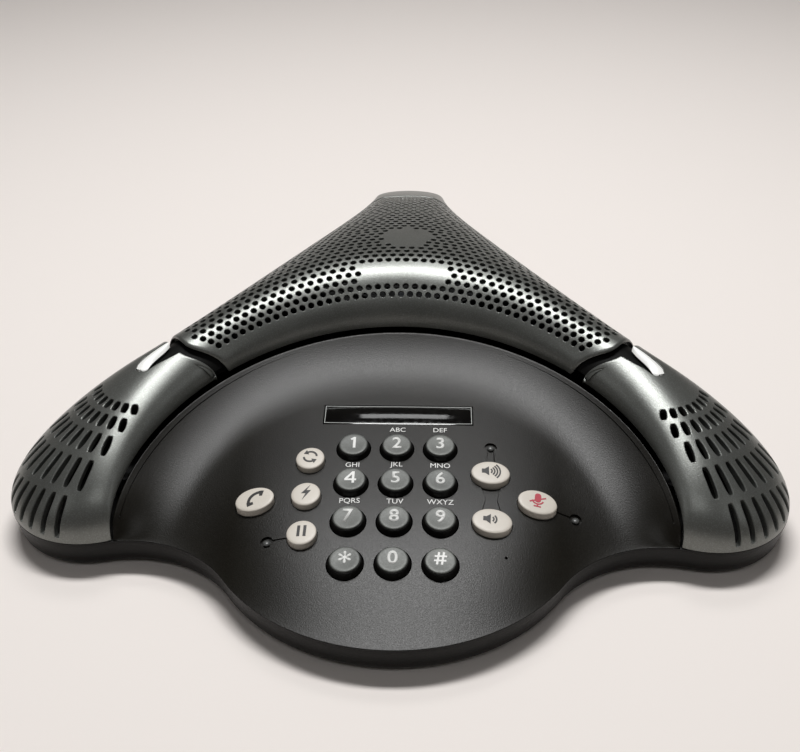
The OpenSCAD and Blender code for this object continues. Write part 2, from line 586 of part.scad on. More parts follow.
module deck_screws() color("silver") translate(middle) for (p = deck_posts) translate([p[0], p[1], base_lift]) {
  cylinder(r = screw_head_r, h = screw_head_h);
  cylinder(r = screw_r, h = floor_t + deck_screw_l - 1);
}
module speaker_screws() color("silver") translate(middle) for (p = speaker_holes) translate([p[0], p[1], 0]) {
  translate([0, 0, flange_top]) cylinder(r = 2.2, h = 1.3);
  translate([0, 0, deck_z + 0.4]) cylinder(r = screw_r, h = flange_top - deck_z);
}
module speaker_basket() color("#3a3d40") translate(middle) difference() {
  at_speaker(0) rotate_extrude() polygon([
    [magnet_d / 4, deck_z - basket_h], [basket_low_d / 2, deck_z - basket_h],
    [basket_d / 2, deck_z - 3], [basket_d / 2, deck_top], [speaker_d / 2, deck_top],
    [speaker_d / 2, flange_top], [basket_d / 2 - basket_t, flange_top],
    [basket_d / 2 - basket_t, deck_z - 3 + basket_t], [basket_low_d / 2 - basket_t, deck_z - basket_h + basket_t],
    [magnet_d / 4, deck_z - basket_h + basket_t]]);
  for (p = speaker_holes) translate([p[0], p[1], deck_top - 1]) cylinder(r = screw_r + screw_gap, h = flange_h + 2);
}
module speaker_magnet() color("#4a4a4c") translate(middle) at_speaker(deck_z - basket_h - magnet_h)
  difference() {
    cylinder(d = magnet_d, h = magnet_h);
    translate([0, 0, 3]) cylinder(d = magnet_d / 2, h = magnet_h);
  }
cone_r = basket_d / 2 - basket_t - 6;
cap_r = 9;
cone_t = 0.8;
cone_deep = 11;
roll_t = 0.8;
module speaker_cone() color("#222325") translate(middle) at_speaker(flange_top)
  rotate_extrude() polygon([[cap_r - 1, -cone_deep], [cone_r, -roll_t], [cone_r, 0],
    [cap_r - 1, cone_t - cone_deep + 0.2]]);
module speaker_surround() color("#161616") translate(middle) at_speaker(flange_top) rotate_extrude()
  polygon(concat([[cone_r, -roll_t], [speaker_d / 2 - 7, 0], [speaker_d / 2 - 7, roll_t]],
    [for (a = [0:30:180]) [cone_r + 3.2 + 2.8 * cos(a), roll_t + 2 * sin(a)]], [[cone_r, 0]]));
module speaker_dust_cap() color("#2c2d30") translate(middle) at_speaker(flange_top - cone_deep + 2.2)
  rotate_extrude() polygon(concat([[0, 0.4]], [for (a = [0:15:75]) [cap_r * cos(a), 4 * sin(a) + 0.4]], [[0, 4.4]]));

// Microphones: a capsule in a rubber boot on the floor of each arm
mic_d = 9.7;
mic_l = 5;
boot_w = 15;
boot_d = 12;
boot_h = 13;
mic_gap = 0.05;
side_mic = 0.9;
module on_arm(p, a) translate([p[0], p[1], floor_z]) rotate(a) children();
module boot() difference() {
  translate([-boot_d / 2, -boot_w / 2, 0]) cube([boot_d, boot_w, boot_h]);
  translate([boot_d / 2 - mic_l - 1, 0, boot_h - mic_d / 2 - 1.6]) rotate([0, 90, 0])
    cylinder(d = mic_d + 2 * mic_gap, h = mic_l + 3);
}
module capsule() translate([boot_d / 2 - mic_l - 1, 0, boot_h - mic_d / 2 - 1.6]) rotate([0, 90, 0])
  cylinder(d = mic_d, h = mic_l);
rear_mic = [0, rear_tip[1] - rear_tip_r];
module right_mic_boot() color("#333333") translate(middle) on_arm(side_mic * tip, -arm_angle) boot();
module left_mic_boot() color("#333333") translate(middle) on_arm(side_mic * flip(tip), 180 + arm_angle) boot();
module rear_mic_boot() color("#333333") translate(middle) on_arm(rear_mic, 90) boot();
module right_mic_capsule() color("#b9bcc0") translate(middle) on_arm(side_mic * tip, -arm_angle) capsule();
module left_mic_capsule() color("#b9bcc0") translate(middle) on_arm(side_mic * flip(tip), 180 + arm_angle) capsule();
module rear_mic_capsule() color("#b9bcc0") translate(middle) on_arm(rear_mic, 90) capsule();

// Main board behind the speaker, on its own posts
main_w = 38;
main_d = 32;
main_lift = 3;
main_gap = 6;
main_front = speaker_back + deck_r + main_gap;
chip_w = 12;
chip_h = 2;
cap_d = 6;
cap_h = 9;
module main_board() color("#2f6b3f") translate(middle) translate([0, main_front + main_d / 2, floor_z]) {
  translate([-main_w / 2, -main_d / 2, main_lift]) cube([main_w, main_d, board_t]);
  for (x = [-1, 1]) for (y = [-1, 1]) translate([x * (main_w / 2 - 4), y * (main_d / 2 - 4), 0])
    cylinder(r = 2.5, h = main_lift + tiny);
  translate([-main_w / 3, -main_d / 4, main_lift + board_t - tiny]) cube([chip_w, chip_w, chip_h]);
  translate([main_w / 5, -main_d / 3, main_lift + board_t - tiny]) cube([chip_w / 2, chip_w, chip_h]);
  for (k = [0, 1]) translate([-main_w / 3 + k * (cap_d + 2), main_d / 2 - cap_d / 2, main_lift + board_t - tiny])
    cylinder(d = cap_d, h = cap_h);
}

// Line jack in the rear tip, open to the back through the base's wall
jack_wall = 1.4;
jack_deep = 13;
jack_back = 2;
jack_face = rear_reach - wall - jack_back;
module line_jack() color("#202020") translate(middle) difference() {
  translate([-jack_w / 2 - jack_wall, jack_face - jack_deep - jack_wall, floor_z])
    cube([jack_w + 2 * jack_wall, jack_deep + jack_wall, jack_h + jack_foot + jack_wall]);
  translate([-jack_w / 2, jack_face - jack_deep, jack_z]) cube([jack_w, jack_deep + 1, jack_h]);
}

base_pan();
rubber_feet();
speaker_grille();
left_arm_cover();
right_arm_cover();
rear_arm_cover();
console();
label_card();
label_window();
left_light_guide();
right_light_guide();
left_seam_strip();
right_seam_strip();
rear_seam_strip();
speaker_deck();
speaker_basket();
speaker_magnet();
speaker_cone();
speaker_surround();
speaker_dust_cap();
left_mic_boot();
right_mic_boot();
rear_mic_boot();
left_mic_capsule();
right_mic_capsule();
rear_mic_capsule();
keypad_membrane();
keypad_board();
board_stand();
main_board();
line_jack();
deck_screws();
board_screws();
speaker_screws();
digit_key(0);  // key_1
digit_key(1);  // key_2
digit_key(2);  // key_3
digit_key(3);  // key_4
digit_key(4);  // key_5
digit_key(5);  // key_6
digit_key(6);  // key_7
digit_key(7);  // key_8
digit_key(8);  // key_9
digit_key(9);  // key_star
digit_key(10);  // key_0
digit_key(11);  // key_hash
cream_key(round_keys[0], round_d, round_d);  // key_redial
cream_key(round_keys[1], round_d, round_d);  // key_flash
cream_key(round_keys[2], round_d, round_d);  // key_hold
cream_key(oval_keys[0], oval_l, oval_d);  // key_hook
cream_key(oval_keys[1], oval_l, oval_d);  // key_volume_up
cream_key(oval_keys[2], oval_l, oval_d);  // key_volume_down
cream_key(oval_keys[3], oval_l, oval_d);  // key_mute
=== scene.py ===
# %% [markdown]
# A conference phone stands on a table: a perforated dome over the speaker, three arms
# with microphones, and a black console with nineteen keys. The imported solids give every
# size and every body. This lesson dresses them with finer shapes and finishes, and it
# starts by loading them and by keeping their box.

import math

import bpy
import numpy as np
from mathutils import Matrix, Vector


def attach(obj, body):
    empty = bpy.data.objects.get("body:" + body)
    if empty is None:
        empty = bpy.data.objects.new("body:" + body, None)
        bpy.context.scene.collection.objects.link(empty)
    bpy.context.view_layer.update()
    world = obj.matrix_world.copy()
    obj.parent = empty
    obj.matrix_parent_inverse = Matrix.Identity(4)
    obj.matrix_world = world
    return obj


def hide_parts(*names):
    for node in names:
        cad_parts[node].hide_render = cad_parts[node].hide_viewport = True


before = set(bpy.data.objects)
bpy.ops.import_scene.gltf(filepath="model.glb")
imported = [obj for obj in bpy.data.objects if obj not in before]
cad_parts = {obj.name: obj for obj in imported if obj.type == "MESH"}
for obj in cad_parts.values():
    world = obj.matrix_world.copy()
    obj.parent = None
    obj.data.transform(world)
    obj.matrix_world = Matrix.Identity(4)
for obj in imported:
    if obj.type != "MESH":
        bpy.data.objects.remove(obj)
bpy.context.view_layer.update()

# %% [markdown]
# All curved parts follow one set of rules: a crown that falls away from the dome's top,
# an outline of touching arcs, and a roll down to the arch above the console. Lengths are
# millimetres about the dome's centre here. One helper turns them into metres in the shared
# frame, whose origin lies 14 mm behind the dome's centre.

# %% Sizes in millimetres
MM = 0.001
SHIFT_Y = -14.0
PARTING = 12.0
DOME_TOP = 64.0
WALL = 2.2
CROWN_SLOPE = 0.36
CROWN_ROUND = 94.0
EDGE_POWER = 5.3
EDGE_ROOT = 2.16
ROLL_H = 20.0
ROLL_W = 24.0
SEAM_R = 98.5
SEAM_GAP = 3.2
SEAM_CUT = 36.9
SEAM_SOFT = 1.5
EDGE_UP = 1.2
TIP_R = 29.5
REAR_TIP_R = 19.0
VALLEY_R = 305.0
BROW_R = 125.0
ARCH_R = 93.2
ARCH_GAP = 0.6
TONGUE_R = 65.5
FILLET_R = 41.0
FRONT_REACH = 142.0
REAR_REACH = 170.0
ARM_REACH = 104.0
ARM_ANGLE = 34
ARCH_Y = -13.1
SEAM_Y = 26.0
REAR_SEAM_Y = 96.0
SHOULDER_POWER = 3
SHOULDER_ROOT = 0.8
CONSOLE_RISE = 23.2
CONSOLE_FALL = 18
SWEEP_DEEP = 28
SWEEP_TAPER = 7
FRONT_POWER = 5.5
FRONT_ROOT = 0.95
TIP = np.array([ARM_REACH, -ARM_REACH * math.tan(math.radians(ARM_ANGLE))])
REAR_TIP = np.array([0.0, REAR_REACH - REAR_TIP_R])
ARCH_C = np.array([0.0, ARCH_Y - ARCH_R])
TONGUE_C = np.array([0.0, TONGUE_R - FRONT_REACH])
SEAM_C = np.array([0.0, SEAM_Y])
REAR_SEAM_C = np.array([0.0, REAR_SEAM_Y - SEAM_R])


def unit(v):
    return np.asarray(v, float) / np.hypot(v[0], v[1])


def touching(a, ra, b, rb, r):
    """Centre of an arc of radius r that touches two circles from outside"""
    d = np.hypot(*(b - a))
    t = (b - a) / d
    n = np.array([t[1], -t[0]])
    out = -1 if n @ (a + b) < 0 else 1
    u = ((ra + r) ** 2 - (rb + r) ** 2 + d * d) / (2 * d)
    return a + t * u + n * out * math.sqrt((ra + r) ** 2 - u * u)


def meet(a, ra, b, rb, side):
    """Where two circles cross; side picks one of the two points"""
    d = np.hypot(*(b - a))
    t = (b - a) / d
    u = (ra * ra - rb * rb + d * d) / (2 * d)
    return a + t * u + side * math.sqrt(max(ra * ra - u * u, 0)) * np.array([-t[1], t[0]])


def degrees_of(v):
    return math.degrees(math.atan2(v[1], v[0]))


def on_circle(c, r, t):
    return np.stack([c[0] + r * np.cos(t), c[1] + r * np.sin(t)], -1)


VALLEY_C = touching(REAR_TIP, REAR_TIP_R, TIP, TIP_R, VALLEY_R)
BROW_C = np.array([0.0, TIP[1] - math.sqrt((TIP_R + BROW_R) ** 2 - TIP[0] ** 2)])
FILLET_C = touching(TIP, TIP_R, TONGUE_C, TONGUE_R, FILLET_R)
TURN_REAR = degrees_of(REAR_TIP + REAR_TIP_R * unit(VALLEY_C - REAR_TIP))
TURN_SIDE = degrees_of(TIP + TIP_R * unit(VALLEY_C - TIP))
TURN_BROW = degrees_of(TIP + TIP_R * unit(BROW_C - TIP))
print("arm tip at", TIP.round(1), "console hollow about", FILLET_C.round(1))

# %% Heights of the covers and of the console


def reach(x, y):
    """How far the outline lies from the dome's centre, in the direction of a point"""
    x = np.abs(x)
    r = np.maximum(np.hypot(x, y), 1e-9)
    ux, uy = x / r, y / r
    a = np.degrees(np.arctan2(uy, ux))

    def hit(c, radius, side):
        b = ux * c[0] + uy * c[1]
        return b + side * np.sqrt(np.maximum(b * b - c @ c + radius * radius, 0))

    tip = np.where(a > TURN_BROW, hit(TIP, TIP_R, 1), hit(BROW_C, BROW_R, -1))
    valley = np.where(a > TURN_SIDE, hit(VALLEY_C, VALLEY_R, -1), tip)
    return np.where(a > TURN_REAR, hit(REAR_TIP, REAR_TIP_R, 1), valley)


def cover_z(x, y):
    r = np.hypot(x, y)
    t = np.minimum(r / np.maximum(reach(x, y), 1), 1)
    crown = DOME_TOP - CROWN_SLOPE * (np.sqrt(r * r + CROWN_ROUND**2) - CROWN_ROUND)
    rise = (crown - PARTING) * np.maximum(1 - t**EDGE_POWER, 0) ** (1 / EDGE_ROOT)
    d = np.maximum(np.hypot(x, y - ARCH_C[1]) - ARCH_R, 0)
    roll = 1 - np.sqrt(1 - np.maximum(1 - d / ROLL_W, 0) ** 2)
    return PARTING + rise * (1 - ROLL_H / (DOME_TOP - PARTING) * roll)


CONSOLE_END = meet(ARCH_C, ARCH_R, FILLET_C, FILLET_R, 1)[0]
NOTCH_X = (TONGUE_C + TONGUE_R * unit(FILLET_C - TONGUE_C))[0]


def arch_y(x):
    return ARCH_C[1] + np.sqrt(np.maximum(ARCH_R**2 - x * x, 0))


def front_y(x):
    x = np.abs(x)
    tongue = TONGUE_C[1] - np.sqrt(np.maximum(TONGUE_R**2 - x * x, 0))
    hollow = FILLET_C[1] + np.sqrt(np.maximum(FILLET_R**2 - (x - FILLET_C[0]) ** 2, 0))
    return np.where(x < NOTCH_X, tongue, hollow)


def shoulder(x):
    share = np.minimum(np.abs(x) / CONSOLE_END, 1)
    return np.maximum(1 - share**SHOULDER_POWER, 0) ** SHOULDER_ROOT


def edge_lift(x):
    return EDGE_UP * (1 - (x / CONSOLE_END) ** 4)


def arch_top(x):
    return cover_z(x, arch_y(x)) - WALL - ARCH_GAP + edge_lift(x)


def seam_y(x, off):
    """The side seam: an arc that eases into a level stretch; off moves it outwards"""
    x = np.asarray(x, float)
    a = SEAM_C[1] - np.sqrt(np.maximum((SEAM_R + off) ** 2 - x * x, 0))
    b = -SEAM_CUT - off
    return (a + b) / 2 + np.sqrt(((a - b) / 2) ** 2 + SEAM_SOFT**2)


def from_seam(x, y, off, step=0.1):
    slope = (seam_y(x + step, off) - seam_y(x - step, off)) / (2 * step)
    return (y - seam_y(x, off)) / np.sqrt(1 + slope * slope)


def console_z(x, y):
    x = np.asarray(x, float)
    y = np.asarray(y, float)
    s = np.clip((arch_y(x) - y) / (arch_y(x) - front_y(x)), 0, 1)
    d = np.hypot(x, y - ARCH_C[1])
    near = ARCH_R * x / np.maximum(d, 1e-9)
    deep = SWEEP_DEEP - SWEEP_TAPER * (near / CONSOLE_END) ** 2
    climb = arch_top(near) - PARTING - CONSOLE_RISE * shoulder(near)
    sweep = climb * np.maximum(1 - np.maximum(ARCH_R - ARCH_GAP - d, 0) / deep, 0) ** 2
    front = np.maximum(1 - s**FRONT_POWER, 0) ** (1 / FRONT_ROOT)
    return PARTING + ((CONSOLE_RISE - CONSOLE_FALL * s) * shoulder(x) + sweep) * front


def normal_at(height, x, y, step=0.05):
    dx = (height(x + step, y) - height(x - step, y)) / (2 * step)
    dy = (height(x, y + step) - height(x, y - step)) / (2 * step)
    n = np.stack([-dx, -dy, np.ones_like(dx)], -1)
    return n / np.linalg.norm(n, axis=-1, keepdims=True)


def to_metres(points):
    return (np.asarray(points, float) + (0, SHIFT_Y, 0)) * MM


print("dome front edge", float(cover_z(0.0, ARCH_Y)))
print("console below it", float(console_z(0.0, ARCH_Y - ARCH_GAP)))

# %% [markdown]
# The camera stands where the photographer stood: a little right of the middle, about 34
# degrees above the table. Its three axes are written out, because they also hold a slight
# roll that looking at a target would lose.

# %% Camera
RIGHT = Vector((0.99956088, 0.02844552, -0.00830018))
UP = Vector((-0.00882165, 0.55307589, 0.83308417))
FORWARD = Vector((-0.02828815, 0.83264513, -0.55308397))
CAMERA_AT = Vector((10.73, -344.84 + SHIFT_Y, 241.87)) * MM


def add_object(name, data):
    thing = bpy.data.objects.new(name, data)
    bpy.context.scene.collection.objects.link(thing)
    return thing


camera_data = bpy.data.cameras.new("camera")
camera_data.lens = 46.18
camera_data.sensor_width = 36
camera = add_object("camera", camera_data)
turn = Matrix((RIGHT, UP, -FORWARD)).transposed().to_4x4()
camera.matrix_world = Matrix.Translation(CAMERA_AT) @ turn
bpy.context.scene.camera = camera
print("camera at", [round(v, 3) for v in camera.matrix_world.translation])

# %% [markdown]
# Three effects come back in several finishes, so each is a node group: a fine grain for
# moulded surfaces, metal flakes for the paint, and a soft patchiness that keeps large
# surfaces from looking like one flat colour. They read object coordinates, so they stay
# put when a key moves. The paint also rounds its edges in the shader, so the rims of holes
# and slots catch the light.

# %% Shared effects


def linear(code):
    parts = [int(code[i : i + 2], 16) / 255 for i in (1, 3, 5)]
    return [v / 12.92 if v < 0.04045 else ((v + 0.055) / 1.055) ** 2.4 for v in parts] + [1]


def effect_group(name, texture, low, high, detail):
    group = bpy.data.node_groups.new(name, "ShaderNodeTree")
    scale = group.interface.new_socket("Scale", in_out="INPUT", socket_type="NodeSocketFloat")
    scale.default_value = 1000
    group.interface.new_socket("Mask", in_out="OUTPUT", socket_type="NodeSocketFloat")
    nodes = group.nodes
    link = group.links.new
    start = nodes.new("NodeGroupInput")
    end = nodes.new("NodeGroupOutput")
    place = nodes.new("ShaderNodeTexCoord")
    pattern = nodes.new(texture)
    spread = nodes.new("ShaderNodeMapRange")
    spread.inputs["From Min"].default_value = low
    spread.inputs["From Max"].default_value = high
    link(place.outputs["Object"], pattern.inputs["Vector"])
    link(start.outputs["Scale"], pattern.inputs["Scale"])
    if texture == "ShaderNodeTexNoise":
        pattern.inputs["Detail"].default_value = detail
        link(pattern.outputs["Fac"], spread.inputs["Value"])
    else:
        split = nodes.new("ShaderNodeSeparateColor")
        link(pattern.outputs["Color"], split.inputs["Color"])
        link(split.outputs["Red"], spread.inputs["Value"])
    link(spread.outputs["Result"], end.inputs["Mask"])
    return group


grain_group = effect_group("moulded_grain", "ShaderNodeTexNoise", 0.3, 0.7, 2)
flake_group = effect_group("paint_flake", "ShaderNodeTexVoronoi", 0.55, 1.0, 0)
patch_group = effect_group("soft_patches", "ShaderNodeTexNoise", 0.3, 0.7, 3)
print("effects:", [g.name for g in (grain_group, flake_group, patch_group)])

# %% Finishes
PATCH_SCALE = 45
FLAKE_SCALE = 4200
ROUGH_SPREAD = 0.05
RELIEF_DEPTH = 0.00005


def effect_node(nodes, group, scale):
    node = nodes.new("ShaderNodeGroup")
    node.node_tree = group
    node.inputs["Scale"].default_value = scale
    return node.outputs["Mask"]


def mix_node(nodes, colour):
    node = nodes.new("ShaderNodeMix")
    node.data_type = "RGBA"
    node.inputs["B"].default_value = linear(colour)
    return node


def finish_of(name, dark, light, metallic, roughness, grain, bump, flake=0.0, fleck="#b4b7b9",
              gloss=0.5, edge=0.0):
    material = bpy.data.materials.new(name)
    material.use_nodes = True
    nodes = material.node_tree.nodes
    link = material.node_tree.links.new
    shader = nodes["Principled BSDF"]
    shader.inputs["Metallic"].default_value = metallic
    shader.inputs["Specular IOR Level"].default_value = gloss
    tint = mix_node(nodes, light)
    tint.inputs["A"].default_value = linear(dark)
    link(effect_node(nodes, patch_group, PATCH_SCALE), tint.inputs["Factor"])
    colour = tint.outputs["Result"]
    grains = effect_node(nodes, grain_group, grain)
    if flake:
        amount = nodes.new("ShaderNodeMath")
        amount.operation = "MULTIPLY"
        amount.inputs[1].default_value = flake
        link(effect_node(nodes, flake_group, FLAKE_SCALE), amount.inputs[0])
        specks = mix_node(nodes, fleck)
        link(amount.outputs["Value"], specks.inputs["Factor"])
        link(colour, specks.inputs["A"])
        colour = specks.outputs["Result"]
    link(colour, shader.inputs["Base Color"])
    rough = nodes.new("ShaderNodeMapRange")
    rough.inputs["To Min"].default_value = roughness - ROUGH_SPREAD
    rough.inputs["To Max"].default_value = roughness + ROUGH_SPREAD
    link(grains, rough.inputs["Value"])
    link(rough.outputs["Result"], shader.inputs["Roughness"])
    relief = nodes.new("ShaderNodeBump")
    relief.inputs["Strength"].default_value = bump
    relief.inputs["Distance"].default_value = RELIEF_DEPTH
    link(grains, relief.inputs["Height"])
    if edge:
        rounding = nodes.new("ShaderNodeBevel")
        rounding.samples = 4
        rounding.inputs["Radius"].default_value = edge
        link(rounding.outputs["Normal"], relief.inputs["Normal"])
    link(relief.outputs["Normal"], shader.inputs["Normal"])
    return material


charcoal = finish_of("charcoal_paint", "#696b67", "#757773", 0.66, 0.33, 2600, 0.3, 0.18, edge=0.0004)
satin_black = finish_of("satin_black", "#100e0a", "#171510", 0.0, 0.34, 2600, 0.35, 0.05, "#55534c", 0.25)
# The base's black is set darker and duller than the console's: partly its own black, partly painted shade
# for the band below the covers
base_black_and_shade = finish_of("base_black_and_shade", "#0c0b0a", "#12110f", 0.0, 0.42, 1600, 0.4, gloss=0.22)
seam_black = finish_of("seam_black", "#080807", "#0d0d0c", 0.0, 0.6, 1500, 0.4, gloss=0.12)
# Black of the jack; on the digit keys' cones this black is painted shade on the keys' slate sides
jack_black_and_key_side_shade = finish_of("jack_black_and_key_side_shade", "#0c0c0b", "#131312", 0.0, 0.35, 2000, 0.2, gloss=0.35)
key_slate = finish_of("key_slate", "#4c4e4b", "#575955", 0.25, 0.45, 2200, 0.2, 0.08)
key_cream = finish_of("key_cream", "#d0c9be", "#dad3c8", 0.0, 0.42, 1800, 0.2)
print_white = finish_of("print_white", "#e4e5e2", "#efefec", 0.0, 0.5, 2500, 0.1)
print_dark = finish_of("print_dark", "#1b1a1a", "#262424", 0.0, 0.5, 2500, 0.1)
print_red = finish_of("print_red", "#b23a48", "#c14a57", 0.0, 0.5, 2500, 0.1)
guide_white = finish_of("guide_white", "#eeeeea", "#f7f7f4", 0.0, 0.3, 1500, 0.1)
window_gloss = finish_of("window_gloss", "#050505", "#0a0a0a", 0.0, 0.08, 600, 0.02)
border_grey = finish_of("border_grey", "#8d8f8c", "#a5a7a4", 0.2, 0.4, 2000, 0.1)
bead_grey = finish_of("bead_grey", "#4c4d4c", "#5c5d5c", 0.1, 0.3, 2000, 0.1)
rubber_black = finish_of("rubber_black", "#1a1a1a", "#242424", 0.0, 0.8, 1200, 0.6)
print("finishes:", len(bpy.data.materials))

# %% [markdown]
# A sheet that follows a height rule starts as a plain grid. Its points are then moved to
# their places by the rule, and Solidify gives it a wall. Grid lines crowd towards the edges,
# because the covers turn down steeply there.

# %% Helpers for pieces


def deselect():
    if bpy.context.object and bpy.context.object.mode != "OBJECT":
        bpy.ops.object.mode_set(mode="OBJECT")
    bpy.ops.object.select_all(action="DESELECT")


def choose(piece):
    deselect()
    piece.select_set(True)
    bpy.context.view_layer.objects.active = piece


def edit(piece, action, **how):
    choose(piece)
    bpy.ops.object.mode_set(mode="EDIT")
    bpy.ops.mesh.select_all(action="SELECT")
    action(**how)
    bpy.ops.object.mode_set(mode="OBJECT")


def read_points(piece):
    flat = np.empty(len(piece.data.vertices) * 3)
    piece.data.vertices.foreach_get("co", flat)
    return flat.reshape(-1, 3)


def write_points(piece, points):
    piece.data.vertices.foreach_set("co", np.ascontiguousarray(points, dtype=np.float64).ravel())
    piece.data.update()


def apply_all(piece):
    choose(piece)
    for modifier in list(piece.modifiers):
        bpy.ops.object.modifier_apply(modifier=modifier.name)


def crowded(v):
    return (1 - np.cos(math.pi * v)) / 2


def sheet_piece(name, across, along, rule, wall):
    deselect()
    bpy.ops.mesh.primitive_grid_add(x_subdivisions=across, y_subdivisions=along, size=1)
    piece = bpy.context.object
    piece.name = name
    uv = read_points(piece)[:, :2] + 0.5
    write_points(piece, to_metres(rule(uv[:, 0], uv[:, 1])))
    if np.mean([f.normal.z for f in piece.data.polygons]) < 0:
        edit(piece, bpy.ops.mesh.flip_normals)
    thick = piece.modifiers.new("wall", "SOLIDIFY")
    thick.thickness = wall * MM
    thick.offset = -1
    apply_all(piece)
    points = read_points(piece)
    points[:, 2] = np.maximum(points[:, 2], PARTING * MM)
    write_points(piece, points)
    return piece


def new_mesh(name, points, faces):
    mesh = bpy.data.meshes.new(name)
    mesh.from_pydata([tuple(p) for p in points], [], faces)
    mesh.update()
    return add_object(name, mesh)


def mesh_piece(name, points, faces):
    return new_mesh(name, to_metres(points), faces)


def cut(piece, name, shape):
    cutter = mesh_piece(name, *shape)
    edit(cutter, bpy.ops.mesh.normals_make_consistent, inside=False)
    away = piece.modifiers.new("cut", "BOOLEAN")
    away.operation = "DIFFERENCE"
    away.solver = "MANIFOLD"
    away.object = cutter
    before = len(piece.data.polygons)
    apply_all(piece)
    print(piece.name, "cut by", name, before, "->", len(piece.data.polygons), "faces")
    bpy.data.objects.remove(cutter)


def smooth(piece, angle=35):
    choose(piece)
    bpy.ops.object.shade_smooth_by_angle(angle=math.radians(angle))


def dress(piece, material, body, slot, *nodes):
    piece.data.materials.clear()
    piece.data.materials.append(material)
    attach(piece, body)
    if nodes:
        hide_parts(*nodes)


def ring_on(c, n, r, turns):
    a = np.cross(n, (0, 1, 0))
    a /= np.linalg.norm(a)
    b = np.cross(n, a)
    return c + r * (np.cos(turns)[:, None] * a + np.sin(turns)[:, None] * b)


def run_length(path):
    return np.concatenate([[0], np.cumsum(np.linalg.norm(np.diff(path, axis=0), axis=1))])


def ribbon(points, normals, halves, lip, above, below):
    """Rings of a bar that follows a path; lip widens it above the surface into a chamfer"""
    points, normals, halves = np.asarray(points), np.asarray(normals), np.asarray(halves)[:, None]
    ahead = np.gradient(points, axis=0)
    side = np.cross(normals, ahead)
    side /= np.linalg.norm(side, axis=1, keepdims=True)
    wide = halves + lip + above
    rings = [points - side * wide + normals * above, points - side * halves - normals * lip,
             points - side * halves - normals * below, points + side * halves - normals * below,
             points + side * halves - normals * lip, points + side * wide + normals * above]
    n = len(points)
    verts = np.stack(rings, 1).reshape(-1, 3)
    faces = [[i * 6 + k, i * 6 + (k + 1) % 6, i * 6 + 6 + (k + 1) % 6, i * 6 + 6 + k]
             for i in range(n - 1) for k in range(6)]
    return verts, faces + [list(range(6)), list(range(n * 6 - 1, n * 6 - 7, -1))]


def joined(parts):
    verts, faces, count = [], [], 0
    for v, f in parts:
        verts.append(v)
        faces += [[i + count for i in face] for face in f]
        count += len(v)
    return np.concatenate(verts), faces


def prism(points, normal, above, below):
    n = len(points)
    verts = np.concatenate([points + normal * above, points - normal * below])
    faces = [[i, (i + 1) % n, n + (i + 1) % n, n + i] for i in range(n)]
    return verts, faces + [list(range(n))[::-1], list(range(n, 2 * n))]

# %% [markdown]
# The dome is one painted shell. Its edges at the seams are rounded a little, so that they
# catch the light. The speaker's holes lie in rows that run with the arch; each row sits half
# a step aside from the last one. A smooth patch in front and a smooth spot further up stay
# free of holes.

# %% Dome
EDGE_ROUND = 0.9
DOME_INSET = 0.4


def eased(d):
    return EDGE_ROUND * (1 - np.sqrt(1 - np.clip(1 - d / EDGE_ROUND, 0, 1) ** 2))


DOME_NAPE = meet(REAR_SEAM_C, SEAM_R, VALLEY_C, VALLEY_R, 1)[0]
DOME_HALF = meet(SEAM_C, SEAM_R, VALLEY_C, VALLEY_R, -1)[0] - DOME_INSET


def dome_rule(u, v):
    x = DOME_HALF * np.sin(math.pi / 2 * (2 * u - 1))
    # One line of the grid runs through the corner where the rear seam meets the side
    off = np.abs(np.abs(x) - DOME_NAPE)
    x = np.where(off < off.min() + 1e-6, np.sign(x) * DOME_NAPE, x)
    front = np.maximum(arch_y(x), seam_y(x, 0))
    nape = REAR_SEAM_C[1] + np.sqrt(np.maximum(SEAM_R**2 - x * x, 0))
    valley = VALLEY_C[1] - np.sqrt(np.maximum(VALLEY_R**2 - (np.abs(x) - VALLEY_C[0]) ** 2, 0))
    rear = np.where(np.abs(x) < DOME_NAPE, nape, valley)
    y = front + (rear - front) * crowded(v)
    z = cover_z(x, y) - eased(from_seam(x, y, 0))
    z -= np.where(y > 0, eased(SEAM_R - np.hypot(x, y - REAR_SEAM_C[1])), 0)
    return np.stack([x, y, z], -1)


dome = sheet_piece("dome_grille", 116, 90, dome_rule, WALL)

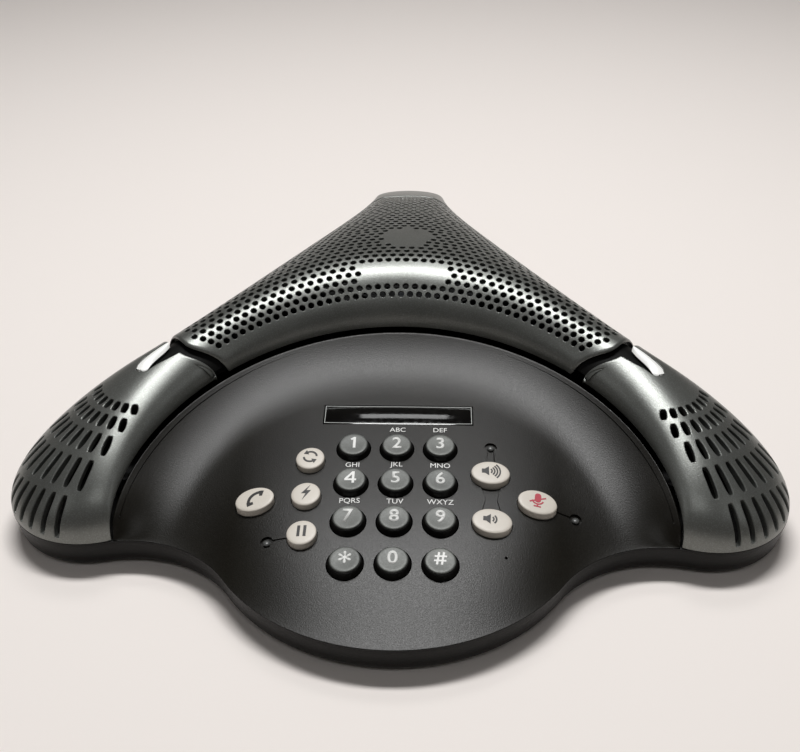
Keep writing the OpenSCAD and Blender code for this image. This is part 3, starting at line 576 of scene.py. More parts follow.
# %% Rows of speaker holes
HOLE_PITCH = 3.54
HOLE_ROW = 3.07
HOLE_R = 1.2
FIRST_ROW = -8.72
ROWS_ALIKE = 5
HOLE_MARGIN = 3
ROW_REACH = 0.925
ROW_TURN = 1.4
PATCH_MID, PATCH_HALF = 1, 16.5
PATCH_LOW, PATCH_HIGH = -5.9, 3
SPOT_MID = (1.5, 24.5)
SPOT_R = 10
SPOT_SQUASH = 0.95
FINE = 0.02
y_line = np.arange(-13.0, 100.0, FINE)
walk = np.cumsum(np.hypot(FINE, np.gradient(cover_z(np.zeros_like(y_line), y_line))))
first = np.interp(FIRST_ROW, y_line, walk)
row_y = np.interp(np.arange(first, walk[-1], HOLE_ROW), walk, y_line)
holes = []
for k, y0 in enumerate(row_y):
    radius = y0 - ARCH_C[1]
    middle_row = row_y[min(k // ROWS_ALIKE * ROWS_ALIKE + ROWS_ALIKE // 2, len(row_y) - 1)]
    step = HOLE_PITCH / (middle_row - ARCH_C[1])
    turns = (np.arange(-60, 61) + 0.5 * (k % 2)) * step
    x = radius * np.sin(turns)
    y = ARCH_C[1] + radius * np.cos(turns)
    keep = from_seam(x, y, 0) > HOLE_MARGIN
    keep &= SEAM_R - np.hypot(x, y - REAR_SEAM_C[1]) > HOLE_MARGIN
    keep &= (np.hypot(x, y) < ROW_REACH * reach(x, y)) & (np.abs(turns) < ROW_TURN)
    keep &= ~((np.abs(x - PATCH_MID) < PATCH_HALF) & (y > PATCH_LOW) & (y0 < PATCH_HIGH))
    keep &= np.hypot(x - SPOT_MID[0], (y - SPOT_MID[1]) * SPOT_SQUASH) > SPOT_R
    holes += list(zip(x[keep], y[keep]))
holes = np.array(holes)
centres = np.column_stack([holes, cover_z(holes[:, 0], holes[:, 1])])
normals = normal_at(cover_z, holes[:, 0], holes[:, 1])
DRILL_SIDES = 10
DRILL_ABOVE, DRILL_BELOW = 1.0, 3.4
spokes = np.linspace(0, 2 * math.pi, DRILL_SIDES + 1)[:-1]
drills = []
for c, n in zip(centres, normals):
    drills.append(prism(ring_on(c, n, HOLE_R, spokes), n, DRILL_ABOVE, DRILL_BELOW))
cut(dome, "drills", joined(drills))
smooth(dome)
dress(dome, charcoal, "case", "cover_charcoal", "speaker_grille")
print("holes:", len(holes))

# %% [markdown]
# Each arm's cover is a patch between four edges: the seam with its level stretch, the arch
# above the console, the round tip, and the long hollow side. The microphone slots lie on
# five rings about one centre. They get longer towards the tip, and the last ring runs down
# to the rim. A chamfer around each slot gives it the bright lower lip of the real moulding.

# %% Arms


def arc_points(c, r, p, q, share, side):
    a = degrees_of(p - c)
    b = degrees_of(q - c)
    sweep = (b - a) % 360 if side > 0 else -((a - b) % 360)
    return on_circle(c, r, np.radians(a + sweep * share))


def patch(u, v, low, high, left, right):
    """Points of a sheet between four edges"""
    one = np.zeros(1)
    u2, v2 = u[:, None], v[:, None]
    corners = (1 - u2) * (1 - v2) * low(one) + u2 * (1 - v2) * low(one + 1)
    corners = corners + (1 - u2) * v2 * high(one) + u2 * v2 * high(one + 1)
    return (1 - v2) * low(u) + v2 * high(u) + (1 - u2) * left(v) + u2 * right(v) - corners


ARM_SEAM = SEAM_R + SEAM_GAP
ARM_FOOT = meet(ARCH_C, ARCH_R, TIP, TIP_R, -1)
ARM_SHOULDER = TIP + TIP_R * unit(VALLEY_C - TIP)
ARM_BACK = meet(SEAM_C, ARM_SEAM, VALLEY_C, VALLEY_R, -1)
ARM_FRONT = np.array([0.0, -SEAM_CUT - SEAM_GAP])
for _ in range(6):
    ARM_FRONT[0] = math.sqrt(ARCH_R**2 - (ARM_FRONT[1] - ARCH_C[1]) ** 2)
    ARM_FRONT[1] = seam_y(ARM_FRONT[0], SEAM_GAP)


def seam_run(share):
    x = ARM_FRONT[0] + (ARM_BACK[0] - ARM_FRONT[0]) * share
    miss = ARM_BACK[1] - seam_y(ARM_BACK[0], SEAM_GAP)
    return np.stack([x, seam_y(x, SEAM_GAP) + miss * share], -1)


def arm_rule(side):
    def rule(u, v):
        p = patch(crowded(u), crowded(v),
                  seam_run,
                  lambda s: arc_points(TIP, TIP_R, ARM_FOOT, ARM_SHOULDER, s, 1),
                  lambda s: arc_points(ARCH_C, ARCH_R, ARM_FRONT, ARM_FOOT, s, -1),
                  lambda s: arc_points(VALLEY_C, VALLEY_R, ARM_BACK, ARM_SHOULDER, s, 1))
        x, y = p[:, 0], p[:, 1]
        z = cover_z(x, y) - eased(-from_seam(x, y, SEAM_GAP))
        return np.stack([side * x, y, np.maximum(z, PARTING)], -1)

    return rule


SLOT_CENTRE = (90.0, -46.0)
SLOT_AXIS = -50.0
SLOT_HALF = 1.05
SLOT_LIP, SLOT_ABOVE, SLOT_BELOW = 0.3, 0.9, 3.6
SLOTS = 8
SHORT_SLOT = 9
RIM_Z = 13.6
# Inner radius, outer radius and step in degrees of each ring of slots
SLOT_RINGS = [
    (14.3, 18.5, 11.9),
    (19.9, 25.5, 9.7),
    (27.0, 34.9, 8.1),
    (36.6, 46.8, 6.85),
    (48.2, 58.0, 5.5),
]


def slot_bar(side, inner, outer, angle):
    x, y = on_circle(SLOT_CENTRE, np.linspace(inner, outer, 240), math.radians(angle)).T
    z = cover_z(x, y)
    path = np.stack([x, y, z], -1)[z > RIM_Z]
    length = run_length(path)
    short = length[-1] < SHORT_SLOT
    n = 12 if short else 20
    middles = (np.arange(n) + 0.5) / n
    spots = np.stack([np.interp(middles * length[-1], length, path[:, i]) for i in range(3)], -1)
    up = normal_at(cover_z, spots[:, 0], spots[:, 1])
    flip = np.array([side, 1, 1])
    share = np.abs(2 * middles - 1)
    half = SLOT_HALF * np.sqrt(1 - share ** (2.2 if short else 4)) + 0.03
    return ribbon(spots * flip, up * flip, half, SLOT_LIP, SLOT_ABOVE, SLOT_BELOW)


def seam_point(out, angle):
    return on_circle(SEAM_C, ARM_SEAM + out, math.radians(angle))


# Places beside the seam: millimetres out from it, and degrees about its centre
GUIDE_OUTER = [(0.3, -34.9), (3.7, -35.1), (9.4, -35.7), (13.0, -36.5), (15.2, -37.7)]
GUIDE_INNER = [(0.3, -35.9), (4.2, -36.9), (8.6, -37.6), (12.2, -38.9)]
POCKET_INNER = [(14.7, -38.6), (13.6, -39.3), (12.2, -39.5), (8.7, -39.4), (4.6, -39.6),
                (-2.0, -39.8), (-2.0, -34.6)]
POCKET_LOW, POCKET_HIGH = 20.0, 70.0
UPWARD = np.array([0, 0, 1.0])
HANDS = ((-1, "left"), (1, "right"))
for side, hand in HANDS:
    arm = sheet_piece(hand + "_arm", 84, 96, arm_rule(side), WALL)
    bars = []
    for inner, outer, step in SLOT_RINGS:
        bars += [slot_bar(side, inner, outer, SLOT_AXIS + (i - (SLOTS - 1) / 2) * step)
                 for i in range(SLOTS)]
    cut(arm, "slot_bars", joined(bars))
    edge = np.array([seam_point(*p) for p in GUIDE_OUTER + POCKET_INNER])
    edge = np.column_stack([edge * (side, 1), np.full(len(edge), POCKET_LOW)])
    cut(arm, "pocket", prism(edge, UPWARD, POCKET_HIGH - POCKET_LOW, 0))
    smooth(arm)
    dress(arm, charcoal, "case", "cover_charcoal", hand + "_arm_cover")


def rear_rule(u, v):
    r = ARM_SEAM
    a = meet(REAR_SEAM_C, r, VALLEY_C, VALLEY_R, 1)
    b = REAR_TIP + REAR_TIP_R * unit(VALLEY_C - REAR_TIP)
    flip = np.array([-1, 1])
    p = patch(crowded(u), crowded(v),
              lambda s: arc_points(REAR_SEAM_C, r, a * flip, a, s, -1),
              lambda s: arc_points(REAR_TIP, REAR_TIP_R, b * flip, b, s, -1),
              lambda s: arc_points(VALLEY_C, VALLEY_R, a, b, s, -1) * flip,
              lambda s: arc_points(VALLEY_C, VALLEY_R, a, b, s, -1))
    x, y = p[:, 0], p[:, 1]
    z = cover_z(x, y) - eased(np.hypot(x, y - REAR_SEAM_C[1]) - r)
    return np.stack([x, y, np.maximum(z, PARTING)], -1)


rear_arm = sheet_piece("rear_arm", 60, 80, rear_rule, WALL)
smooth(rear_arm)
dress(rear_arm, charcoal, "case", "cover_charcoal", "rear_arm_cover")

# %% [markdown]
# The console is a satin black moulding. It sweeps up to the arch under the dome's edge and
# falls to a rounded front. Its sheet ends in a lip that tucks under the dome. Holes for the
# keys, a seat for the label strip, and a few shallow marks are cut into it.

# %% Console sheet
CONSOLE_ROWS = 120
LIP_ROWS = 3
LIP = 2.2
LIP_DROP = 0.55
LIP_FALL = 0.2
CONSOLE_EASE = 0.6
CONSOLE_INSET = 0.7
top_rows = CONSOLE_ROWS - LIP_ROWS + 1
row_share = np.concatenate([crowded(np.linspace(0, 1, top_rows)), np.ones(LIP_ROWS)])
row_lip = np.concatenate([np.zeros(top_rows), np.linspace(0, LIP, LIP_ROWS + 1)[1:]])


def console_rule(u, v):
    x = (CONSOLE_END - CONSOLE_INSET) * np.sin(math.pi / 2 * (2 * u - 1))
    j = np.rint(v * CONSOLE_ROWS).astype(int)
    high = arch_y(x) - ARCH_GAP
    y = front_y(x) + (high - front_y(x)) * row_share[j]
    tuck = arch_top(x) - edge_lift(x) - LIP_DROP - LIP_FALL * row_lip[j]
    z = np.where(row_lip[j] > 0, tuck, console_z(x, y))
    z = z - np.where(row_lip[j] > 0, 0, eased(np.maximum(high - y, 0)) * CONSOLE_EASE)
    return np.stack([x, y + row_lip[j], np.maximum(z, PARTING)], -1)


console = sheet_piece("console_top", 130, CONSOLE_ROWS, console_rule, WALL)

# %% Key places
KEY_TILT = math.radians(10)
KEY_AXIS = np.array([0.0, -math.sin(KEY_TILT), math.cos(KEY_TILT)])
KEY_SIDE = np.array([1.0, 0.0, 0.0])
KEY_BACK = np.cross(KEY_AXIS, KEY_SIDE)
KEY_GAP = 0.3
DIGIT = (5.7, 5.7)
ROUND = (4.8, 4.8)
OVAL = (6.4, 4.9)
DIGIT_ASIDE, DIGIT_DOWN = 14.75, 15.45
DIGIT_FIRST_Y = -67.3
OPENING_HALF = 8
names = list("123456789") + ["star", "0", "hash"]
# Each key has its place, its turn in degrees and its two half sizes
digits = {}
for i, n in enumerate(names):
    place = (DIGIT_ASIDE * (i % 3 - 1), DIGIT_FIRST_Y - DIGIT_DOWN * (i // 3))
    digits[n] = (*place, 0.0, *DIGIT)
creams = {
    "redial": (-29.0, -73.1, 0.0, *ROUND),
    "flash": (-29.1, -88.3, 0.0, *ROUND),
    "hold": (-29.1, -103.2, 0.0, *ROUND),
    "hook": (-45.9, -89.0, 8.0, *OVAL),
    "volume_up": (31.4, -78.4, 0.0, *OVAL),
    "volume_down": (31.2, -97.8, -4.0, *OVAL),
    "mute": (46.3, -88.7, -8.0, *OVAL),
}
around = np.linspace(0, 2 * math.pi, 49)[:-1]


def key_frame(key):
    x, y, angle = key[:3]
    t = math.radians(angle)
    side = KEY_SIDE * math.cos(t) + KEY_BACK * math.sin(t)
    back = KEY_BACK * math.cos(t) - KEY_SIDE * math.sin(t)
    return np.array([x, y, float(console_z(x, y))]), side, back


def key_ring(key, grow):
    spot, side, back = key_frame(key)
    wide = (key[3] + grow) * np.cos(around)[:, None]
    deep = (key[4] + grow) * np.sin(around)[:, None]
    return spot + wide * side + deep * back


all_keys = list(digits.values()) + list(creams.values())
openings = [prism(key_ring(k, KEY_GAP), KEY_AXIS, OPENING_HALF, OPENING_HALF) for k in all_keys]
cut(console, "key_openings", joined(openings))

# %% Label seat and shallow marks
LABEL_W, LABEL_D, LABEL_Y = 52.6, 9.4, -50.7
LABEL_GAP = 0.3
LABEL_SEAT = 1.2
label_rise = float(console_z(0, LABEL_Y + LABEL_D / 2) - console_z(0, LABEL_Y - LABEL_D / 2))
LABEL_TILT = math.atan2(label_rise, LABEL_D)
label_up = np.array([0.0, -math.sin(LABEL_TILT), math.cos(LABEL_TILT)])
label_back = np.array([0.0, math.cos(LABEL_TILT), math.sin(LABEL_TILT)])
label_mid = np.array([0.0, LABEL_Y, float(console_z(0, LABEL_Y))])


def label_corners(grow):
    side = (LABEL_W + grow) / 2 * KEY_SIDE
    back = (LABEL_D + grow) / 2 * label_back
    signs = [(-1, -1), (1, -1), (1, 1), (-1, 1)]
    return np.array([label_mid + a * side + b * back for a, b in signs])


cut(console, "label_seat", prism(label_corners(LABEL_GAP), label_up, 4, LABEL_SEAT))


def groove(points, halves, deep, lip=0.12):
    p = np.asarray(points, float)
    length = run_length(p)
    at = np.linspace(0, length[-1], 24)
    x, y = np.interp(at, length, p[:, 0]), np.interp(at, length, p[:, 1])
    half = np.interp(at, length, halves)
    ends = np.minimum(at, length[-1] - at)
    half = half * np.sqrt(1 - np.clip(1 - ends / half, 0, 0.995) ** 2)
    spots = np.stack([x, y, console_z(x, y)], -1)
    return ribbon(spots, normal_at(console_z, x, y), half, lip, 0.7, deep)


def dot_ring(x, y, r):
    n = normal_at(console_z, np.array([x]), np.array([y]))[0]
    return ring_on(np.array([x, y, float(console_z(x, y))]), n, r, around), n


DIMPLE_R, DIMPLE_DEEP = 2.1, 0.8
BEAD_R, BEAD_SQUASH, BEAD_SINK = 1.25, 0.6, 0.55
PINHOLE_AT, PINHOLE_R = (35.2, -109.4), 0.5
LINE_HALF, LINE_DEEP = 0.35, 0.4
DOTS = {"volume_dot": (32.0, -65.5), "mute_dot": (58.8, -91.0), "hold_dot": (-40.3, -104.4)}
WAIST = [(31.4, -80), (31.4, -84.6), (31.4, -88), (31.3, -91.4), (31.2, -96)]
cut(console, "volume_waist", groove(WAIST, [4.6, 2.7, 1.9, 2.7, 4.6], 0.5))
cut(console, "volume_neck", groove([(32, -66), (31.6, -76)], [0.9, 1.6], 0.8))
LINES = {"mute_groove": [(51.5, -89.6), (58, -90.9)], "hold_groove": [(-33.5, -103.6), (-39.6, -104.3)]}
for name, ends in LINES.items():
    cut(console, name, groove(ends, [LINE_HALF, LINE_HALF], LINE_DEEP))
for x, y in DOTS.values():
    rim, n = dot_ring(x, y, DIMPLE_R)
    cut(console, "dimple", prism(rim, n, 2, DIMPLE_DEEP))
rim, n = dot_ring(*PINHOLE_AT, PINHOLE_R)
cut(console, "pinhole", prism(rim, n, 2, 4))
smooth(console, 30)
dress(console, satin_black, "case", "case_black", "console")

# %% Beads in the dimples
for name, (x, y) in DOTS.items():
    deselect()
    bpy.ops.mesh.primitive_uv_sphere_add(segments=24, ring_count=14, radius=BEAD_R * MM)
    bead = bpy.context.object
    bead.name = name
    points = read_points(bead)
    points[:, 2] *= BEAD_SQUASH
    place = to_metres([x, y, float(console_z(x, y)) - BEAD_SINK])
    write_points(bead, points + place)
    smooth(bead, 80)
    dress(bead, bead_grey, "case", "trim_black")

# %% [markdown]
# The label strip is a glossy black window with a thin pale line around it. It starts as a
# flat plate at the seat's place; a bevel rounds its edges. The line is a narrow frame that
# lies just on the window.

# %% Label strip


def plate_piece(name, rim, above, below, bevel):
    piece = mesh_piece(name, *prism(rim, label_up, above, below))
    edit(piece, bpy.ops.mesh.normals_make_consistent, inside=False)
    round_off = piece.modifiers.new("round", "BEVEL")
    round_off.width = bevel * MM
    round_off.segments = 2
    apply_all(piece)
    return piece


WINDOW_THICK = 1.15
FRAME_OUT, FRAME_IN = 0.8, 1.3
window = plate_piece("label_plate", label_corners(0), 0.0, WINDOW_THICK, 0.15)
smooth(window, 30)
dress(window, window_gloss, "case", "clear_window", "label_window", "label_card")
line = plate_piece("label_line", label_corners(-FRAME_OUT), 0.03, 0.1, 0.005)
cut(line, "line_inside", prism(label_corners(-FRAME_IN), label_up, 1, 1))
dress(line, border_grey, "case", "trim_black")
print("label tilt", round(math.degrees(LABEL_TILT), 1))

# %% [markdown]
# The base is a shallow tray. Its side is drawn in towards the table, and a fine step runs
# along the line where it meets the covers. It is lofted through outlines of the same count,
# each a little further in, as a boat's hull is lofted through its frames.

# %% Base


def base_half(inset):
    notch = FILLET_C + (FILLET_R + inset) * unit(TONGUE_C - FILLET_C)
    heel = TIP + (TIP_R - inset) * unit(FILLET_C - TIP)
    back = TIP + (TIP_R - inset) * unit(VALLEY_C - TIP)
    nape = REAR_TIP + (REAR_TIP_R - inset) * unit(VALLEY_C - REAR_TIP)
    end = REAR_TIP + np.array([0, REAR_TIP_R])

    def run(c, r, p, q, n, side):
        return arc_points(c, r, p, q, np.arange(n) / n, side)

    return np.concatenate([
        run(TONGUE_C, TONGUE_R - inset, (0, -FRONT_REACH), notch, 48, 1),
        run(FILLET_C, FILLET_R + inset, notch, heel, 40, -1),
        run(TIP, TIP_R - inset, heel, back, 64, 1),
        run(VALLEY_C, VALLEY_R + inset, back, nape, 70, -1),
        run(REAR_TIP, REAR_TIP_R - inset, nape, end, 30, 1)])


def base_ring(inset):
    half = base_half(inset)
    end = [[0.0, REAR_REACH - inset]]
    return np.concatenate([half, end, half[:0:-1] * (-1, 1)])


TRAY_LOW, TRAY_FLOOR = 1.2, 4.0
# Height of each outline and how far in it lies: up the outside, over the rim, down the inside
LEVELS = [(TRAY_LOW, 3.0), (1.35, 2.7), (2.2, 1.9), (3.6, 1.2), (6.0, 0.75), (9.0, 0.5),
          (10.7, 0.42), (11.0, 0.3), (11.35, 0.0), (11.75, 0.0), (11.85, 0.35), (11.85, WALL),
          (4.2, WALL + 0.4), (TRAY_FLOOR, WALL + 0.7)]
rings = [base_ring(inset) for z, inset in LEVELS]
count = len(rings[0])
points = [np.column_stack([r, np.full(count, z)]) for (z, inset), r in zip(LEVELS, rings)]
points = np.concatenate(points + [np.array([[0, ARCH_Y, TRAY_LOW], [0, ARCH_Y, TRAY_FLOOR]])])
faces = []
for i in range(len(LEVELS) - 1):
    below, above = i * count, (i + 1) * count
    for j in range(count):
        k = (j + 1) % count
        faces.append([below + j, below + k, above + k, above + j])
last = (len(LEVELS) - 1) * count
middle = len(LEVELS) * count
faces += [[(j + 1) % count, j, middle] for j in range(count)]
faces += [[last + j, last + (j + 1) % count, middle + 1] for j in range(count)]
base = mesh_piece("base_tray", points, faces)
JACK_HALF, JACK_HIGH, JACK_Z = 4.95, 6.8, 4.4
JACK_FROM, JACK_TO = 160, 180
jack_box = np.array([[-JACK_HALF, JACK_FROM, JACK_Z], [JACK_HALF, JACK_FROM, JACK_Z],
                     [JACK_HALF, JACK_TO, JACK_Z], [-JACK_HALF, JACK_TO, JACK_Z]])
cut(base, "jack_mouth", prism(jack_box, UPWARD, JACK_HIGH, 0))
SEAT_R, SEAT_DEEP = 7.2, 0.9
FRONT_FOOT = (40, -100)
foot_spots = [REAR_TIP]
for x, y in (TIP, FRONT_FOOT):
    foot_spots += [(x, y), (-x, y)]
seats = []
for spot in foot_spots:
    ring = np.column_stack([on_circle(spot, SEAT_R, around), np.full(len(around), TRAY_LOW)])
    seats.append(prism(ring, UPWARD, SEAT_DEEP, 1))
cut(base, "foot_seats", joined(seats))
smooth(base, 25)
dress(base, base_black_and_shade, "case", "case_black", "base_pan")

# %% [markdown]
# Black strips close the seams from below: each is a curved band that runs under both covers
# and turns down to the tray where the seam reaches the long hollow side. The white light
# guides lie in pockets beside the side seams, like slim crescents that lean towards the seam.

# %% Seam strips and light guides
STRIP_IN, STRIP_WIDE = 9, 26
STRIP_SINK = 2.9
STRIP_WALL = 1.2
STRIP_LOW = PARTING + 0.05
STRIP_EDGE = VALLEY_R + 0.9
STRIP_FRONT = ARCH_R + 1.2
END_ROW = 0.001


def strip_rule(centre, low, high, side, feet):
    def rule(u, v):
        r = SEAM_R - STRIP_IN + (SEAM_GAP + STRIP_WIDE) * u
        t = np.radians(low(r) + (high(r) - low(r)) * crowded(v))
        x, y = on_circle(centre, r, t).T
        z = np.maximum(cover_z(x, y) - STRIP_SINK, STRIP_LOW)
        for end in feet:
            z = np.where(np.abs(v - end) < END_ROW, STRIP_LOW, z)
        return np.stack([side * x, y, z], -1)

    return rule


def end_of(centre, other, radius, side):
    def rule(r):
        return np.array([degrees_of(meet(centre, q, other, radius, side) - centre) for q in r])

    return rule


side_low = end_of(SEAM_C, ARCH_C, STRIP_FRONT, 1)
side_high = end_of(SEAM_C, VALLEY_C, STRIP_EDGE, -1)
rear_low = end_of(REAR_SEAM_C, VALLEY_C, STRIP_EDGE, 1)
bands = {hand: strip_rule(SEAM_C, side_low, side_high, side, (1,)) for side, hand in HANDS}
bands["rear"] = strip_rule(REAR_SEAM_C, rear_low, lambda r: 180 - rear_low(r), 1, (0, 1))
for hand, band in bands.items():
    strip = sheet_piece(hand + "_strip", 18, 60, band, STRIP_WALL)
    smooth(strip)
    dress(strip, seam_black, "case", "trim_black", hand + "_seam_strip")


def along(points, share):
    p = np.array([seam_point(*q) for q in points])
    at = np.linspace(0, 1, len(p))
    return np.stack([np.polyval(np.polyfit(at, p[:, i], 3), share) for i in range(2)], -1)


GUIDE_GAP = 0.1
GUIDE_SINK, GUIDE_SLOPE = 0.25, 1.5
GUIDE_WALL = 0.9
ROUND_FROM, ROUND_RUN = 0.84, 0.162


def guide_rule(side):
    def rule(u, v):
        inner = along(GUIDE_INNER, v)
        outer = along([(out - GUIDE_GAP, angle - GUIDE_GAP) for out, angle in GUIDE_OUTER], v)
        end = np.sqrt(1 - np.clip((v - ROUND_FROM) / ROUND_RUN, 0, 1) ** 2)
        p = inner + (outer - inner) * (0.5 + (u - 0.5) * end)[:, None]
        z = cover_z(p[:, 0], p[:, 1]) - GUIDE_SINK - GUIDE_SLOPE * (1 - u) ** 1.5
        return np.column_stack([side * p[:, 0], p[:, 1], z])

    return rule


for side, hand in HANDS:
    guide = sheet_piece(hand + "_guide", 10, 80, guide_rule(side), GUIDE_WALL)
    smooth(guide)
    dress(guide, guide_white, "case", "guide_white", hand + "_light_guide")

# %% [markdown]
# Each key starts as a circle. It is extruded upwards ring by ring and scaled at every step,
# as if it were turned on a lathe. Digit keys are cones with a separate slate cap whose top is
# dished; the cones are black as painted shade on the keys' slate sides. Function keys are
# cream, and the wide ones are ovals. All of them lean with the console.

# %% Key bodies


def turned(name, profile, wide=1.0, deep=1.0, count=48):
    deselect()
    bpy.ops.mesh.primitive_circle_add(vertices=count, radius=profile[0][0], fill_type="NOTHING")
    piece = bpy.context.object
    piece.name = name
    bpy.ops.object.mode_set(mode="EDIT")
    bpy.ops.mesh.select_all(action="SELECT")
    bpy.ops.transform.translate(value=(0, 0, profile[0][1]))
    for (r1, z1), (r2, z2) in zip(profile, profile[1:]):
        bpy.ops.mesh.extrude_region_move(TRANSFORM_OT_translate={"value": (0, 0, z2 - z1)})
        bpy.ops.transform.resize(value=(r2 / r1, r2 / r1, 1), center_override=(0, 0, 0))
    bpy.ops.mesh.edge_face_add()
    bpy.ops.mesh.select_all(action="DESELECT")
    bpy.ops.mesh.select_non_manifold()
    bpy.ops.mesh.edge_face_add()
    edit(piece, bpy.ops.mesh.normals_make_consistent, inside=False)
    points = read_points(piece)
    points[:, 0] *= wide
    points[:, 1] *= deep
    write_points(piece, points)
    return piece


def lean_of(key):
    x, y = np.array([key[0]]), np.array([key[1]])
    return float((console_z(x + 1, y) - console_z(x - 1, y))[0] / 2)


def on_key(piece, key):
    """Moves a shape from its own axes, in millimetres, to a key's place"""
    spot, side, back = key_frame(key)
    p = read_points(piece)
    up = p[:, 2] + lean_of(key) * (p[:, 0] * side[0] + p[:, 1] * back[0])
    world = spot + p[:, :1] * side + p[:, 1:2] * back + up[:, None] * KEY_AXIS
    write_points(piece, to_metres(world))


# Profiles of the keys: radius and height of each ring; the cream ones are shares of the key's size
SKIRT = [(5.1, -4.2), (5.6, -3.8), (5.7, -3.4), (5.7, 0.0), (5.05, 1.95), (4.75, 2.1)]
CAP = [(4.6, 2.0), (4.82, 2.08), (4.86, 2.25), (4.78, 2.45), (4.6, 2.56), (4.2, 2.6),
       (3.4, 2.56), (2.4, 2.48), (1.3, 2.43), (0.4, 2.41)]
CREAM = [(0.93, -4.2), (0.99, -3.8), (1.0, -3.4), (1.0, 1.45), (0.995, 1.75), (0.975, 1.98),
         (0.93, 2.12), (0.8, 2.2), (0.55, 2.25), (0.3, 2.27), (0.08, 2.28)]
for name, key in digits.items():
    skirt = turned("key_%s_skirt" % name, SKIRT)
    on_key(skirt, key)
    smooth(skirt, 40)
    # The cone's black is painted shade on the key's side
    dress(skirt, jack_black_and_key_side_shade, "key_%s_cap" % name, "key_slate", "key_" + name)
    cap = turned("key_%s_dish" % name, CAP)
    on_key(cap, key)
    smooth(cap, 60)
    dress(cap, key_slate, "key_%s_cap" % name, "key_slate")
for name, key in creams.items():
    button = turned("key_%s_button" % name, CREAM, key[3], key[4], 64)
    on_key(button, key)
    smooth(button, 60)
    dress(button, key_cream, "key_%s_cap" % name, "key_cream", "key_" + name)
print("keys:", len(digits) + len(creams))

# %% [markdown]
# The print is real geometry, a tenth of a millimetre thick. Most figures and the letters are
# text objects turned into meshes; a curve offset makes the figures bold. Three figures and
# the signs on the cream keys are drawn from strokes, bows and outlines. Every point is laid
# on the surface below it.

# %% Print
INK = 0.1
FIGURE_SIZE, STAR_SIZE, LETTER_SIZE = 6.7, 9.5, 2.9
BOLD = 0.14
FIGURE_BACK = 0.75
DISH_Z, DISH_CURVE = 2.4, 0.0125
LETTER_LIFT = 0.04


def thicken(piece):
    thick = piece.modifiers.new("ink", "SOLIDIFY")
    thick.thickness = INK
    thick.offset = 1
    apply_all(piece)


def written(name, words, size, bold):
    deselect()
    bpy.ops.object.text_add()
    text = bpy.context.object
    text.data.body = words
    text.data.size = size
    text.data.offset = bold
    text.data.align_x = "CENTER"
    text.data.align_y = "CENTER"
    text.data.resolution_u = 4
    bpy.ops.object.convert(target="MESH")
    piece = bpy.context.object
    piece.name = name
    points = read_points(piece)
    points[:, :2] -= (points[:, :2].max(0) + points[:, :2].min(0)) / 2
    write_points(piece, points)
    thicken(piece)
    return piece


def lay_on(piece, key, behind, height):
    points = read_points(piece)
    points[:, 1] += behind
    points[:, 2] += height(points[:, 0], points[:, 1])
    write_points(piece, points)
    on_key(piece, key)


def stroke(points, half):
    p = np.asarray(points, float)
    ahead = np.gradient(p, axis=0)
    side = np.stack([-ahead[:, 1], ahead[:, 0]], -1)
    side /= np.linalg.norm(side, axis=1, keepdims=True)
    half = np.broadcast_to(np.asarray(half, float), (len(p),))[:, None]
    n = len(p)
    verts = np.concatenate([p + side * half, p - side * half])
    return verts, [[i, n + i, n + i + 1, i + 1] for i in range(n - 1)]


def bow(r, start, stop, n=20, centre=(0, 0)):
    return on_circle(centre, r, np.radians(np.linspace(start, stop, n)))


def outline(points):
    return np.asarray(points, float), [list(range(len(points)))]


def facing_up(verts, side):
    x, y = verts[side, 0], verts[side, 1]
    return side if np.sum(x * np.roll(y, -1) - y * np.roll(x, -1)) > 0 else side[::-1]


def drawn(name, parts):
    verts, sides = joined(parts)
    flat = np.column_stack([verts, np.zeros(len(verts))])
    piece = new_mesh(name, flat, [facing_up(verts, list(f)) for f in sides])
    thicken(piece)
    return piece


# Each bar of a drawn figure runs between two points and has a half width
DRAWN_FIGURES = {
    "1": [((0.3, -2.4), (0.3, 2.4), 0.45), ((0.5, 2.2), (-0.9, 1.35), 0.36)],
    "4": [((0.8, -2.4), (0.8, 2.4), 0.42), ((0.75, 2.2), (-1.75, -0.85), 0.38),
          ((-2.05, -1.0), (1.85, -1.0), 0.38)],
    "hash": [((-1.1, -2.3), (-0.4, 2.3), 0.33), ((0.4, -2.3), (1.1, 2.3), 0.33),
             ((-1.8, 0.8), (2.0, 0.8), 0.33), ((-2.0, -0.8), (1.8, -0.8), 0.33)],
}
for name, key in digits.items():
    if name in DRAWN_FIGURES:
        ink = drawn("print_key_" + name, [stroke(bar[:2], bar[2]) for bar in DRAWN_FIGURES[name]])
    elif name == "star":
        ink = written("print_key_star", "*", STAR_SIZE, BOLD)
    else:
        ink = written("print_key_" + name, name, FIGURE_SIZE, BOLD)
    lay_on(ink, key, FIGURE_BACK, lambda x, y: DISH_Z + DISH_CURVE * (x**2 + y**2))
    dress(ink, print_white, "key_%s_cap" % name, "key_cream")

LETTERS = dict(zip("23456789", "ABC DEF GHI JKL MNO PQRS TUV WXYZ".split()))
TOP_LETTERS_BACK, LETTERS_BACK = 9.2, 8.2
for name, words in LETTERS.items():
    ink = written("letters_" + words, words, LETTER_SIZE, 0.0)
    points = read_points(ink)
    x = digits[name][0] + points[:, 0]
    back = TOP_LETTERS_BACK if name in "23" else LETTERS_BACK
    y = digits[name][1] + back + points[:, 1] * math.cos(KEY_TILT)
    z = console_z(x, y) + LETTER_LIFT + points[:, 2]
    write_points(ink, to_metres(np.stack([x, y, z], -1)))
    dress(ink, print_white, "case", "key_cream")

# %% Signs on the function keys


